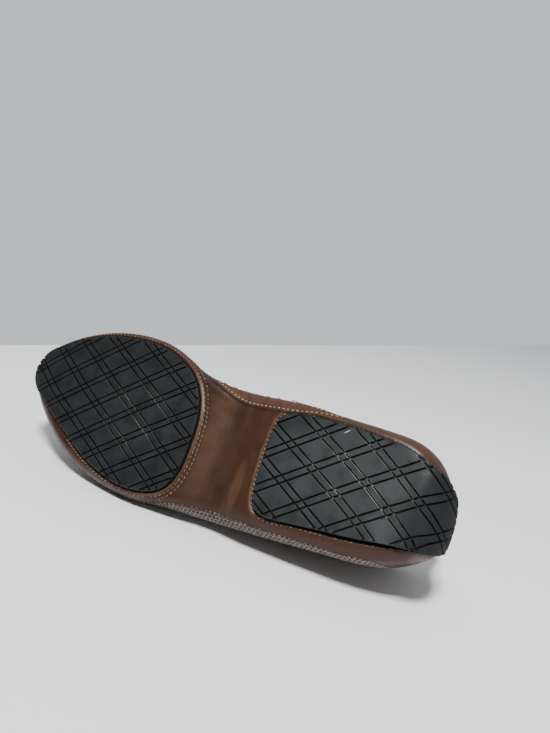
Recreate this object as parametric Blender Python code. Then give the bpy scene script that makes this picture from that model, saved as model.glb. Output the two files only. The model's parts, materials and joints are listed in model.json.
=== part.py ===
"""Right loafer lying on its lateral side: upper, leather bottom, two rubber pads and an insole.

The shoe is modelled upright in millimetres: x runs from heel to toe, y to the medial side and z up
from the tread. One empty lays it down and brings it to metres.
"""
import math
from collections import namedtuple

import bmesh
import bpy
import numpy as np
from mathutils import Matrix, Vector

for old in list(bpy.data.objects):
    bpy.data.objects.remove(old, do_unlink=True)

MM = 0.001

# Driving sizes in millimetres
LENGTH = 298.0
BALL_WIDTH = 100.0
INSTEP_HEIGHT = 73.0
BACK_HEIGHT = 62.0
TOE_BOX_HEIGHT = 41.0
TOE_SPRING = 5.0
WAIST_ARCH = 2.5
UPPER_WALL = 2.2
RAND_WALL = 1.6
RAND_STEP = 1.1
RAND_FULL = 0.92
HEM_SHARE = 0.45
TUCK_PER_FLOOR = 0.6
BOTTOM_PLATE = 3.6
INSOLE_THICK = 3.0
PAD_PROUD = 2.4
PAD_SUNK = 1.2
PAD_BEVEL = 0.8
GAP = 0.3
POCKET_ROOM = 1.4 * GAP

# Diamond tread: pairs of grooves in two directions, mirrored about the length of the shoe
DIAMOND_EDGE = 18.2
DIAMOND_ANGLE = math.radians(66.3)
PAIR_SPACING = 0.235
GROOVE_WIDTH = 1.4
GROOVE_DEPTH = 1.0
GROOVE_RUNOUT = 0.4
FOREFOOT_CROSSING = (290.1, 29.4)
HEEL_CROSSING = (151.3, 10.8)

# Where the spine of the vamp ends over the toe, in percent of length and of ball width
TOE_BOX_ALONG = 82.5
TOE_BOX_ACROSS = 21.0
VAMP_SLOPE_THROAT = -0.50
VAMP_SLOPE_TOE = -0.26

# Lean of the upper's wall at the collar and above the widest line, and how far each end steers it
COLLAR_LEAN = 0.30
SIDE_LEAN = 0.40
VAMP_LEAN = 0.55
SIDE_SHARE = 0.36
COLLAR_SHARE = 0.35
VAMP_SHARE = 0.55

# Cross sections from heel to toe: place along in percent of length, medial and lateral reach in
# percent of ball width, tuck under the foot and height of the widest line in millimetres, and how
# much of the lower quarter turn the rand covers
SECTION_COLUMNS = "along medial lateral tuck_medial tuck_lateral widest rand_medial rand_lateral"
Section = namedtuple("Section", SECTION_COLUMNS)
SECTIONS = [
    Section(1.35, 9.2, -18.6, 11.5, 9.5, 21.5, 0.85, 0.85),
    Section(2.0, 14.2, -23.2, 11.0, 9.5, 21.0, 0.85, 0.85),
    Section(4.0, 22.4, -29.0, 10.5, 9.5, 20.0, 0.82, 0.8),
    Section(8.0, 30.0, -35.7, 10.5, 12.0, 18.0, 0.75, 0.62),
    Section(12.5, 32.4, -38.8, 8.0, 11.0, 16.5, 0.68, 0.57),
    Section(20.0, 34.2, -40.0, 5.6, 9.5, 15.0, 0.62, 0.52),
    Section(33.5, 39.0, -41.0, 10.0, 11.5, 15.0, 0.56, 0.47),
    Section(47.0, 41.2, -41.2, 11.0, 11.5, 14.5, 0.56, 0.42),
    Section(55.0, 46.0, -41.6, 4.4, 6.2, 14.0, 0.6, 0.6),
    Section(61.0, 54.8, -42.2, 3.6, 4.8, 14.0, 0.62, 0.88),
    Section(69.8, 62.0, -39.0, 4.2, 5.6, 13.5, 0.72, 0.88),
    Section(80.0, 61.5, -29.2, 4.2, 6.6, 13.0, 0.78, 0.82),
    Section(89.3, 54.0, -11.6, 4.2, 6.8, 13.5, 0.8, 0.8),
    Section(96.3, 43.0, 6.0, 4.6, 6.6, 14.0, 0.8, 0.8),
]
Tip = namedtuple("Tip", "along across tuck widest rand")
HEEL_TIP = Tip(0.57, -1.0, 11.5, 22.0, 0.85)
TOE_TIP = Tip(100.0, 25.0, 5.5, 14.0, 0.80)

# Edge of the foot opening from heel to throat, with its height in millimetres
Rim = namedtuple("Rim", "along medial lateral height")
COLLAR = [
    Rim(8.7, 14.5, -23.0, 59.5),
    Rim(20.0, 24.0, -28.0, 54.5),
    Rim(32.0, 26.5, -27.5, 53.5),
    Rim(43.5, 24.0, -14.0, 61.0),
    Rim(50.0, 19.5, 2.0, 69.0),
]
COLLAR_BACK = (3.0, -4.0)
COLLAR_THROAT = (52.7, 11.0)

# Plan edges of the two rubber pads from their rear to their front
Edge = namedtuple("Edge", "along medial lateral")
FOREFOOT_EDGE = [
    Edge(50.9, 12.0, -17.7),
    Edge(52.2, 24.6, -27.5),
    Edge(54.4, 35.2, -33.2),
    Edge(57.7, 43.8, -36.0),
    Edge(62.4, 50.8, -36.6),
    Edge(68.1, 55.4, -33.2),
    Edge(74.2, 56.4, -26.5),
    Edge(80.5, 55.2, -16.6),
    Edge(85.9, 51.6, -7.5),
    Edge(90.6, 46.8, 1.0),
    Edge(94.3, 41.8, 7.6),
    Edge(96.8, 36.6, 13.5),
]
FOREFOOT_TIPS = ((51.0, -3.0), (98.6, 25.0))
HEEL_EDGE = [
    Edge(1.07, 4.6, -5.5),
    Edge(1.4, 7.0, -12.6),
    Edge(1.85, 9.1, -17.6),
    Edge(2.6, 12.0, -20.8),
    Edge(3.9, 14.8, -22.8),
    Edge(5.3, 17.3, -23.9),
    Edge(7.0, 19.4, -24.9),
    Edge(10.4, 23.1, -26.5),
    Edge(14.1, 25.3, -27.7),
    Edge(20.1, 27.6, -28.7),
    Edge(26.8, 28.3, -29.5),
    Edge(32.2, 28.0, -29.6),
    Edge(33.9, 25.2, -26.6),
    Edge(34.65, 19.0, -20.7),
    Edge(35.0, 9.5, -11.5),
]
HEEL_TIPS = ((0.87, -1.0), (35.1, -1.0))

# Mesh steps: stations on each side, the stations at throat and toe box, and rows up the shoe
STATIONS = 32
THROAT_STATION = 16
TOE_BOX_STATION = 27
RAND_ROWS = 4
TUCK_ROWS = 2
SIDE_ROWS = 2
TOP_ROWS = 6
PAD_STATIONS = 20
CROSS_STEPS = 5


def closed_spline(points):
    """Periodic cubic spline through the points, with its parameter near to arc length in plan."""
    pts = np.array(points, float)
    count = len(pts)
    step = np.linalg.norm(np.roll(pts, -1, axis=0)[:, :2] - pts[:, :2], axis=1)
    knots = np.concatenate(([0.0], np.cumsum(step)))
    slope = (np.roll(pts, -1, axis=0) - pts) / step[:, None]
    system = np.zeros((count, count))
    for i in range(count):
        system[i, i - 1] = step[i - 1]
        system[i, i] = 2 * (step[i - 1] + step[i])
        system[i, (i + 1) % count] = step[i]
    bend = np.linalg.solve(system, 6 * (slope - np.roll(slope, 1, axis=0)))

    def at(parameter):
        t = np.mod(parameter, knots[-1])
        i = np.minimum(np.searchsorted(knots, t, side="right") - 1, count - 1)
        k = (i + 1) % count
        b = ((t - knots[i]) / step[i])[:, None]
        a = 1 - b
        curve = (a**3 - a) * bend[i] + (b**3 - b) * bend[k]
        return a * pts[i] + b * pts[k] + curve * (step[i] ** 2)[:, None] / 6

    return at, knots


def loop_of(rear, medial, front, lateral, shares):
    """Points and outward plan normals of a closed edge, at the same shares of both its sides."""
    at, knots = closed_spline([rear, *medial, front, *reversed(lateral)])
    half = knots[len(medial) + 1]
    t = np.concatenate((half * shares, knots[-1] - (knots[-1] - half) * shares[-2:0:-1]))
    along = at(t + 0.25)[:, :2] - at(t - 0.25)[:, :2]
    normal = np.column_stack((-along[:, 1], along[:, 0]))
    return at(t), normal / np.linalg.norm(normal, axis=1)[:, None]


def end_weighted(count):
    """Shares from 0 to 1 that crowd towards both ends."""
    even = np.linspace(0.0, 1.0, count + 1)
    return 0.5 * even + 0.25 * (1 - np.cos(math.pi * even))


def on_plan(along, across):
    return along * LENGTH / 100, across * BALL_WIDTH / 100


def widest_loop(shares):
    """Widest line of the shoe with its tuck, height and rand share."""
    medial = [(*on_plan(s.along, s.medial), s.tuck_medial, s.widest, s.rand_medial) for s in SECTIONS]
    lateral = [(*on_plan(s.along, s.lateral), s.tuck_lateral, s.widest, s.rand_lateral) for s in SECTIONS]
    heel = (*on_plan(HEEL_TIP.along, HEEL_TIP.across), *HEEL_TIP[2:])
    toe = (*on_plan(TOE_TIP.along, TOE_TIP.across), *TOE_TIP[2:])
    return loop_of(heel, medial, toe, lateral, shares)


SHARES = end_weighted(STATIONS)
WIDEST, OUTWARD = widest_loop(SHARES)
TUCK, WIDEST_Z, RAND = WIDEST[:, 2], WIDEST[:, 3], np.minimum(WIDEST[:, 4], RAND_FULL)
FINE_WIDEST, FINE_OUTWARD = widest_loop(np.linspace(0.0, 1.0, 600))
HEM_TURN = HEM_SHARE * RAND * math.pi / 2
STEP_FLOOR = BOTTOM_PLATE * RAND_STEP / RAND_WALL
HEM_SIDE = RAND_WALL + GAP
HEM_FLOOR = BOTTOM_PLATE + GAP
WAIST_FROM = HEEL_TIPS[1][0] * LENGTH / 100
WAIST_TO = FOREFOOT_TIPS[0][0] * LENGTH / 100
SPRING_FROM = 0.84 * LENGTH
GROOVE_PITCH = DIAMOND_EDGE * math.sin(DIAMOND_ANGLE)
TOE_BENDS = np.linspace(SPRING_FROM, 0.98 * LENGTH, 5)
HEEL_BENDS = 3.2 * HEEL_TIP.tuck * (1 - np.sin(np.radians((0, 12, 24, 35, 46, 57, 68))))
HEEL_SIDE_STEPS = np.array((-21.0, -18.0, -14.0, -9.0, 0.0, 9.0, 14.0, 18.0, 22.0, 25.5))
HEEL_SIDE_BENDS = HEEL_TIP.across * BALL_WIDTH / 100 + HEEL_SIDE_STEPS
TOE_SIDE_STEPS = np.array((-18.0, -13.0, -8.0, 0.0, 8.0, 13.0, 18.0))
TOE_SIDE_BENDS = TOE_TIP.across * BALL_WIDTH / 100 + TOE_SIDE_STEPS


def floor_level(x):
    """Height of the leather's underside: flat at the pads, arched at the waist, sprung at the toe."""
    waist = np.clip((x - WAIST_FROM) / (WAIST_TO - WAIST_FROM), 0.0, 1.0)
    spring = np.clip((x - SPRING_FROM) / (LENGTH - SPRING_FROM), 0.0, None)
    return PAD_PROUD + WAIST_ARCH * np.sin(math.pi * waist) ** 2 + TOE_SPRING * spring**2


def lower_inset(turn, side, floor):
    """Plan distance in from the widest line on the lower quarter turn."""
    return side + (TUCK + TUCK_PER_FLOOR * floor) * (1 - np.sin(turn))


def lower_ring(turn, side=0.0, floor=0.0):
    """Loop on the lower quarter turn, set in from the skin by side and up from the floor."""
    plan = WIDEST[:, :2] - lower_inset(turn, side, floor)[:, None] * OUTWARD
    base = floor_level(plan[:, 0]) + floor
    return np.column_stack((plan, base + (WIDEST_Z - base) * (1 - np.cos(turn))))


def skin_height(plan):
    """Height of the shoe's underside over a plan point, and its share of the turn up to the side."""
    away = np.linalg.norm(plan[:, None, :] - FINE_WIDEST[None, :, :2], axis=2)
    nearest = np.argmin(away, axis=1)
    inside = np.sum((FINE_WIDEST[nearest, :2] - plan) * FINE_OUTWARD[nearest], axis=1)
    share = np.clip(1 - inside / FINE_WIDEST[nearest, 2], 0.0, 1.0)
    base = floor_level(plan[:, 0])
    return base + (FINE_WIDEST[nearest, 3] - base) * (1 - np.sqrt(1 - share**2)), share


def skin_points(plan, lift):
    """Points at a distance out from the shoe's underside, straight out of its surface."""
    plan = np.asarray(plan, float)
    reach = 0.2
    height, _ = skin_height(plan)
    slope_x = (skin_height(plan + (reach, 0))[0] - skin_height(plan - (reach, 0))[0]) / (2 * reach)
    slope_y = (skin_height(plan + (0, reach))[0] - skin_height(plan - (0, reach))[0]) / (2 * reach)
    normal = np.column_stack((slope_x, slope_y, -np.ones(len(plan))))
    normal /= np.linalg.norm(normal, axis=1)[:, None]
    return np.column_stack((plan, height)) + np.reshape(lift, (-1, 1)) * normal


def add_ring(bm, points):
    return [bm.verts.new(point) for point in points]


def bridge(bm, low, high, keep=None):
    """Faces between two loops of equal length, on the steps that keep allows."""
    count = len(low)
    for i in range(count):
        k = (i + 1) % count
        if keep is None or keep(i, k):
            bm.faces.new((low[i], low[k], high[k], high[i]))


def cap(bm, ring, points, place):
    """Close a loop with rows that run from its medial to its lateral side."""
    half = len(ring) // 2
    rows = [[ring[0]]]
    for i in range(1, half):
        share = np.linspace(0.0, 1.0, CROSS_STEPS + 1)[1:-1, None]
        inner = points[i, :2] * (1 - share) + points[-i, :2] * share
        rows.append([ring[i], *add_ring(bm, place(inner)), ring[-i]])
    rows.append([ring[half]])
    for low, high in zip(rows, rows[1:]):
        for i in range(CROSS_STEPS):
            corners = [low[min(i, len(low) - 1)], low[min(i + 1, len(low) - 1)]]
            corners += [high[min(i + 1, len(high) - 1)], high[min(i, len(high) - 1)]]
            bm.faces.new(list(dict.fromkeys(corners)))


def finish(name, bm, smooth_angle):
    """Turn the mesh outward, drop flat seams and make it an object."""
    bmesh.ops.remove_doubles(bm, verts=bm.verts, dist=0.001)
    bmesh.ops.dissolve_degenerate(bm, edges=bm.edges, dist=0.0005)
    bmesh.ops.dissolve_limit(bm, angle_limit=math.radians(0.02), verts=bm.verts, edges=bm.edges)
    bmesh.ops.triangulate(bm, faces=bm.faces)
    bmesh.ops.recalc_face_normals(bm, faces=bm.faces)
    mesh = bpy.data.meshes.new(name)
    bm.to_mesh(mesh)
    bm.free()
    mesh.shade_smooth()
    mesh.set_sharp_from_angle(angle=math.radians(smooth_angle))
    part = bpy.data.objects.new(name, mesh)
    bpy.context.collection.objects.link(part)
    return part


def leather_bottom():
    """Leather wrap: a plate under the foot that turns up into a thin rand."""
    bm = bmesh.new()
    turns = [RAND * math.pi / 2 * k / RAND_ROWS for k in range(RAND_ROWS + 1)]
    outer_points = [lower_ring(turn) for turn in turns]
    inner_points = [lower_ring(turn, RAND_WALL, BOTTOM_PLATE) for turn in turns]
    outer = [add_ring(bm, points) for points in outer_points]
    inner = [add_ring(bm, points) for points in inner_points]
    for k in range(RAND_ROWS):
        bridge(bm, outer[k], outer[k + 1])
        bridge(bm, inner[k], inner[k + 1])
    bridge(bm, outer[-1], inner[-1])

    def plate(rise):
        return lambda plan: np.column_stack((plan, floor_level(plan[:, 0]) + rise))

    cap(bm, outer[0], outer_points[0], plate(0.0))
    cap(bm, inner[0], inner_points[0], plate(BOTTOM_PLATE))
    return finish("leather_bottom", bm, 40)


def vamp_spine(share):
    """Ridge of the vamp from the throat to the toe box: points and slopes."""
    from_x, from_y = on_plan(*COLLAR_THROAT)
    to_x, to_y = on_plan(TOE_BOX_ALONG, TOE_BOX_ACROSS)
    run = to_x - from_x
    s = share
    height = (2 * s**3 - 3 * s**2 + 1) * INSTEP_HEIGHT + (3 * s**2 - 2 * s**3) * TOE_BOX_HEIGHT
    height += run * ((s**3 - 2 * s**2 + s) * VAMP_SLOPE_THROAT + (s**3 - s**2) * VAMP_SLOPE_TOE)
    fall = 6 * (s**2 - s) * (INSTEP_HEIGHT - TOE_BOX_HEIGHT) / run
    fall += (3 * s**2 - 4 * s + 1) * VAMP_SLOPE_THROAT + (3 * s**2 - 2 * s) * VAMP_SLOPE_TOE
    return np.column_stack((from_x + run * s, from_y + (to_y - from_y) * s, height)), fall


def upper_ends():
    """Where each station of the upper ends, on the collar or on the spine, and the slope there."""
    throat = SHARES[THROAT_STATION]
    medial = [(*on_plan(r.along, r.medial), r.height) for r in COLLAR]
    lateral = [(*on_plan(r.along, r.lateral), r.height) for r in COLLAR]
    back = (*on_plan(*COLLAR_BACK), BACK_HEIGHT)
    front = (*on_plan(*COLLAR_THROAT), INSTEP_HEIGHT)
    collar = loop_of(back, medial, front, lateral, SHARES[: THROAT_STATION + 1] / throat)[0]
    share = (SHARES[THROAT_STATION:] - throat) / (SHARES[TOE_BOX_STATION] - throat)
    spine, fall = vamp_spine(np.minimum(share, 1.0))
    station = np.concatenate((np.arange(STATIONS + 1), np.arange(STATIONS - 1, 0, -1)))
    ends = np.zeros((2 * STATIONS, 3))
    slope = np.zeros(2 * STATIONS)
    for i, at in enumerate(station):
        if at >= THROAT_STATION:
            ends[i] = spine[at - THROAT_STATION]
            slope[i] = fall[at - THROAT_STATION]
        else:
            ends[i] = collar[i if i < STATIONS else i - 2 * STATIONS]
            slope[i] = VAMP_SLOPE_THROAT
    return ends, slope, station


def upper_top(ends, slope, station):
    """Rows of the upper from its widest line to its ends, as one cubic curve at each station."""
    low = lower_ring(math.pi / 2, RAND_STEP)
    across = ends[:, :2] - low[:, :2]
    width = np.linalg.norm(across, axis=1)[:, None]
    rise = (ends[:, 2] - low[:, 2])[:, None]
    across = across / width
    near = np.clip((SHARES[station] / SHARES[THROAT_STATION] - 0.5) / 0.5, 0.0, 1.0)[:, None]
    over = near * near * (3 - 2 * near)
    collar_way = np.column_stack((COLLAR_LEAN * across, np.ones(len(across))))
    vamp_way = np.column_stack((across, slope * across[:, 0]))
    way = (1 - over) * collar_way + over * vamp_way
    way /= np.linalg.norm(way, axis=1)[:, None]
    reach = (1 - over) * COLLAR_SHARE * rise + over * VAMP_SHARE * width
    lean = SIDE_LEAN + over * (VAMP_LEAN - SIDE_LEAN)
    up = low + SIDE_SHARE * rise * np.column_stack((lean * across, np.ones(len(low))))
    back = ends - reach * way
    rows = []
    for k in range(1, TOP_ROWS + 1):
        w = k / TOP_ROWS
        v = 1 - w
        rows.append(v**3 * low + 3 * w * v**2 * up + 3 * w**2 * v * back + w**3 * ends)
    return rows


def upper():
    """Hollow upper: tucked in behind the rand, full above it, open at the collar."""
    bm = bmesh.new()
    ends, slope, station = upper_ends()
    rand_top = RAND * math.pi / 2
    clear = rand_top + GAP / TUCK
    hem = [HEM_TURN + (clear - HEM_TURN) * k / TUCK_ROWS for k in range(TUCK_ROWS + 1)]
    side = [clear + (math.pi / 2 - clear) * k / SIDE_ROWS for k in range(SIDE_ROWS + 1)]
    outside = [lower_ring(turn, RAND_STEP, STEP_FLOOR) for turn in side] + upper_top(ends, slope, station)
    grid = np.array(outside)
    normal = np.cross(np.gradient(grid, axis=0), np.roll(grid, -1, axis=1) - np.roll(grid, 1, axis=1))
    ridge = station >= THROAT_STATION
    normal[-1, ridge] = np.column_stack((-slope, 0 * slope, np.ones(len(slope))))[ridge]
    normal /= np.linalg.norm(normal, axis=2)[:, :, None]

    inside = [lower_ring(turn, HEM_SIDE + UPPER_WALL, HEM_FLOOR + UPPER_WALL) for turn in hem + side[1:]]
    for k in range(1, TOP_ROWS + 1):
        behind_rand = max(0.0, 1 - 3 * k / TOP_ROWS) * HEM_SIDE
        row = SIDE_ROWS + k
        inside.append(grid[row] - (UPPER_WALL + behind_rand) * normal[row])
    hem_rows = [lower_ring(turn, HEM_SIDE, HEM_FLOOR) for turn in hem]
    rings = [add_ring(bm, points) for points in hem_rows + outside]
    back_rings = [add_ring(bm, points) for points in inside]
    for low, high in zip(rings, rings[1:]):
        bridge(bm, low, high)
    for low, high in zip(back_rings, back_rings[1:]):
        bridge(bm, low, high)
    bridge(bm, rings[0], back_rings[0])
    bridge(bm, rings[-1], back_rings[-1], lambda i, k: min(station[i], station[k]) < THROAT_STATION)
    return finish("upper", bm, 50)


def insole():
    """Footbed that lies on the leather bottom inside the hem of the upper."""
    bm = bmesh.new()
    low_floor = BOTTOM_PLATE + GAP
    behind_hem = lower_inset(HEM_TURN, HEM_SIDE + UPPER_WALL, HEM_FLOOR + UPPER_WALL) + GAP
    on_plate = lower_inset(0.0, RAND_WALL, BOTTOM_PLATE)
    plan = WIDEST[:, :2] - np.maximum(behind_hem, on_plate)[:, None] * OUTWARD

    def at(rise):
        return lambda spots: np.column_stack((spots, floor_level(spots[:, 0]) + rise))

    low = add_ring(bm, at(low_floor)(plan))
    high = add_ring(bm, at(low_floor + INSOLE_THICK)(plan))
    bridge(bm, low, high)
    cap(bm, low, plan, at(low_floor))
    cap(bm, high, plan, at(low_floor + INSOLE_THICK))
    return finish("insole", bm, 40)


def sunk(plan):
    """How deep a pad sits in the leather, less where it curls up and the leather is thin."""
    return PAD_SUNK * (1 - 0.75 * skin_height(plan)[1])


def groove_place(plan, crossing, way):
    """Place across the groove pairs of one direction, in steps of one pair."""
    half = DIAMOND_ANGLE / 2
    aside = np.array((-way * math.sin(half), math.cos(half)))
    return (np.asarray(plan) - crossing) @ aside / GROOVE_PITCH, aside


def groove_depth(plan, crossing):
    """Depth of the V grooves under a plan point."""
    depth = np.zeros(len(plan))
    for way in (-1, 1):
        place, _ = groove_place(plan, crossing, way)
        off = np.abs(np.abs(place - np.round(place)) - PAIR_SPACING / 2) * GROOVE_PITCH
        depth = np.maximum(depth, GROOVE_DEPTH * (1 - 2 * off / GROOVE_WIDTH))
    return np.maximum(depth, 0.0)


def slice_faces(bm, faces, point, normal):
    """Split faces along an upright plane."""
    edges = {edge for face in faces for edge in face.edges}
    verts = {vert for face in faces for vert in face.verts}
    geometry = [*verts, *edges, *faces]
    bmesh.ops.bisect_plane(bm, geom=geometry, dist=0.001, plane_co=point, plane_no=normal)


def slice_grooves(bm, plan, crossing):
    """Split the tread face along both rims and the bottom of every groove."""
    for way in (-1, 1):
        place, aside = groove_place(plan, crossing, way)
        for pair in range(math.floor(place.min()), math.ceil(place.max()) + 1):
            for side in (-0.5, 0.5):
                for rim in (-0.5, 0.0, 0.5):
                    off = (pair + side * PAIR_SPACING) * GROOVE_PITCH + rim * GROOVE_WIDTH
                    point = np.array(crossing) + off * aside
                    tread = [f for f in bm.faces if max(v.co.z for v in f.verts) < 0.001]
                    slice_faces(bm, tread, (*point, 0.0), (*aside, 0.0))


def pad_solid(name, edge, tips, bends, grow=0.0, lift=PAD_PROUD, bevel=0.0, deeper=0.0, crossing=None):
    """Solid that follows the underside, drawn flat at levels 0 to 1 and then bent to its shape."""
    bm = bmesh.new()
    medial = [on_plan(e.along, e.medial) for e in edge]
    lateral = [on_plan(e.along, e.lateral) for e in edge]
    rear, front = on_plan(*tips[0]), on_plan(*tips[1])
    plan, normal = loop_of(rear, medial, front, lateral, end_weighted(PAD_STATIONS))
    plan = plan + grow * normal
    levels = ((plan - bevel * normal, 0.0), (plan, 0.5), (plan, 1.0))
    rings = []
    for spots, level in levels:
        rings.append(add_ring(bm, np.column_stack((spots, np.full(len(spots), level)))))
    bridge(bm, rings[0], rings[1])
    bridge(bm, rings[1], rings[2])
    bm.faces.new(rings[0])
    bm.faces.new(rings[2])
    for x in bends:
        slice_faces(bm, bm.faces[:], (x, 0.0, 0.0), (1.0, 0.0, 0.0))
    for y in HEEL_SIDE_BENDS:
        curl = [f for f in bm.faces if f.calc_center_median().x < HEEL_BENDS[0]]
        slice_faces(bm, curl, (0.0, y, 0.0), (0.0, 1.0, 0.0))
    for y in TOE_SIDE_BENDS:
        sprung = [f for f in bm.faces if f.calc_center_median().x > TOE_BENDS[0]]
        slice_faces(bm, sprung, (0.0, y, 0.0), (0.0, 1.0, 0.0))
    if crossing:
        slice_grooves(bm, plan, crossing)
        bmesh.ops.remove_doubles(bm, verts=bm.verts, dist=0.25)
    flat = np.array([vert.co for vert in bm.verts])
    spots = flat[:, :2]
    rim = np.array([any(f.calc_center_median().z > 0.001 for f in vert.link_faces) for vert in bm.verts])
    tread = np.full(len(flat), lift)
    if crossing:
        tread -= groove_depth(spots, crossing) * np.where(rim, GROOVE_RUNOUT, 1.0)
    wall = np.full(len(flat), lift - bevel)
    top = -sunk(spots) - deeper
    low_share = np.clip(2 * flat[:, 2], 0.0, 1.0)
    high_share = np.clip(2 * flat[:, 2] - 1, 0.0, 1.0)
    out = np.where(flat[:, 2] <= 0.5, tread + (wall - tread) * low_share, wall + (top - wall) * high_share)
    for vert, point in zip(bm.verts, skin_points(spots, out)):
        vert.co = point
    return finish(name, bm, 40)


def cut(part, cutter):
    """Take the cutter's volume away from the part."""
    cutter.hide_render = True
    cutter.display_type = "WIRE"
    step = part.modifiers.new(cutter.name, "BOOLEAN")
    step.operation = "DIFFERENCE"
    step.solver = "EXACT"
    step.object = cutter


def rubber_pad(name, edge, tips, bends, crossing, bottom):
    """Pad with its diamond grooves, and the pocket for it in the leather bottom."""
    pad = pad_solid(name, edge, tips, bends, bevel=PAD_BEVEL, crossing=crossing)
    pocket = pad_solid(f"{name}_pocket", edge, tips, bends, grow=POCKET_ROOM, deeper=POCKET_ROOM)
    cut(bottom, pocket)
    return pad


def paint(part, colour, roughness):
    """Plain material of the piece."""
    material = bpy.data.materials.new(part.name)
    material.use_nodes = True
    shader = material.node_tree.nodes["Principled BSDF"]
    shader.inputs["Base Color"].default_value = (*colour, 1.0)
    shader.inputs["Roughness"].default_value = roughness
    shader.inputs["Metallic"].default_value = 0.0
    part.data.materials.append(material)


def moment(part):
    """Volume of a closed mesh and the place of its centre."""
    part.data.calc_loop_triangles()
    corners = np.array([[part.data.vertices[v].co for v in t.vertices] for t in part.data.loop_triangles])
    share = np.einsum("ij,ij->i", corners[:, 0], np.cross(corners[:, 1], corners[:, 2])) / 6
    return share.sum(), (share[:, None] * corners.sum(axis=1) / 4).sum(axis=0) / share.sum()


def resting_turn(points, centre):
    """Turn that lays the shoe on the flat of its lateral side that carries its centre of mass."""
    bm = bmesh.new()
    for point in points:
        bm.verts.new(point)
    bmesh.ops.convex_hull(bm, input=bm.verts)
    best = None
    for face in bm.faces:
        face.normal_update()
        normal = face.normal.copy()
        if normal.dot(face.calc_center_median() - centre) < 0:
            normal.negate()
        foot = centre + normal * normal.dot(face.verts[0].co - centre)
        ring = [v.co for v in face.verts]
        sides = [(b - a).cross(foot - a).dot(normal) for a, b in zip(ring, ring[1:] + ring[:1])]
        if min(sides) * max(sides) >= 0 and (best is None or normal.y < best.y):
            best = normal
    bm.free()
    return best.rotation_difference(Vector((0, 0, -1))).to_matrix().to_4x4()


def lay_down(parts, density):
    """Lay the shoe on its lateral side, its length along X and its tread to -Y, centred on the floor."""
    moments = [moment(part) for part in parts]
    weights = [volume * density[part.name] for part, (volume, _) in zip(parts, moments)]
    centre = Vector(sum(w * np.array(c) for w, (_, c) in zip(weights, moments)) / sum(weights))
    points = [v.co.copy() for part in parts for v in part.data.vertices]
    turn = resting_turn(points, centre)
    heel, toe = (turn @ Vector((*on_plan(tip.along, tip.across), 0.0)) for tip in (HEEL_TIP, TOE_TIP))
    yaw = math.pi - math.atan2(toe.y - heel.y, toe.x - heel.x)
    turn = Matrix.Rotation(yaw, 4, "Z") @ turn
    laid = np.array([turn @ point for point in points])
    low, high = laid.min(axis=0), laid.max(axis=0)
    shift = Matrix.Translation((-(low[0] + high[0]) / 2, -(low[1] + high[1]) / 2, -low[2]))
    frame = bpy.data.objects.new("loafer_frame", None)
    bpy.context.collection.objects.link(frame)
    frame.matrix_world = Matrix.Scale(MM, 4) @ shift @ turn
    return frame


DENSITY = {"upper": 0.85, "leather_bottom": 0.90, "forefoot_pad": 1.15, "heel_pad": 1.15, "insole": 0.35}
BOTTOM = leather_bottom()
FOREFOOT = rubber_pad("forefoot_pad", FOREFOOT_EDGE, FOREFOOT_TIPS, TOE_BENDS, FOREFOOT_CROSSING, BOTTOM)
HEEL = rubber_pad("heel_pad", HEEL_EDGE, HEEL_TIPS, HEEL_BENDS, HEEL_CROSSING, BOTTOM)
UPPER = upper()
INSOLE = insole()
PARTS = [UPPER, BOTTOM, FOREFOOT, HEEL, INSOLE]
paint(UPPER, (0.20, 0.17, 0.14), 0.55)
paint(BOTTOM, (0.12, 0.050, 0.030), 0.45)
paint(FOREFOOT, (0.024, 0.027, 0.028), 0.60)
paint(HEEL, (0.030, 0.034, 0.034), 0.60)
paint(INSOLE, (0.25, 0.17, 0.11), 0.70)
FRAME = lay_down(PARTS, DENSITY)
for piece in bpy.data.objects:
    if piece is not FRAME:
        piece.parent = FRAME
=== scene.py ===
"""Looks of the right loafer that lies on its side: leather wrap, rubber treads, punched upper and footbed.

Shapes are worked out in the shoe's own millimetres, as in the part's source: x from heel to toe, y to
the medial side and z up from the tread. The two tread mounts give the place of that frame.
"""
import json
import math
from collections import namedtuple

import bmesh
import bpy
import numpy as np
from mathutils import Matrix, Vector
from mathutils.geometry import convex_hull_2d


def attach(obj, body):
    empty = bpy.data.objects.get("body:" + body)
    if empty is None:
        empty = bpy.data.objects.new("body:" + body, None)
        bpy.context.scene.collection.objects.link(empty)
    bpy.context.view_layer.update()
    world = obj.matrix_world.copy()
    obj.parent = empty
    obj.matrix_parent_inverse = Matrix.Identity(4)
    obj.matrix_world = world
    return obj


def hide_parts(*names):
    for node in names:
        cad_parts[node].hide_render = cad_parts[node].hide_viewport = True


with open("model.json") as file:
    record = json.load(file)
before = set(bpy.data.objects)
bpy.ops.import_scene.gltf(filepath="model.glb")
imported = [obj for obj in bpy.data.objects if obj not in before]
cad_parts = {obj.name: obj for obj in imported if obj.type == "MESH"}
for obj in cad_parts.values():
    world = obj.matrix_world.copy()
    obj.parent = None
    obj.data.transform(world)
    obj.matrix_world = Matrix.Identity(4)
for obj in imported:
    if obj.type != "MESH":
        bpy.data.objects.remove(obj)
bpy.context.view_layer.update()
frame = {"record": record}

# Driving sizes of the shoe in millimetres
LENGTH = 298.0
BALL_WIDTH = 100.0
INSTEP_HEIGHT = 73.0
BACK_HEIGHT = 62.0
TOE_BOX_HEIGHT = 41.0
TOE_SPRING = 5.0
WAIST_ARCH = 2.5
UPPER_WALL = 2.2
RAND_WALL = 1.6
RAND_STEP = 1.1
RAND_FULL = 0.92
HEM_SHARE = 0.45
TUCK_PER_FLOOR = 0.6
BOTTOM_PLATE = 3.6
INSOLE_THICK = 3.0
PAD_PROUD = 2.4
PAD_BEVEL = 0.5
GAP = 0.3
HEEL_MOUNT_X = 60.0
MM = 0.001
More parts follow.
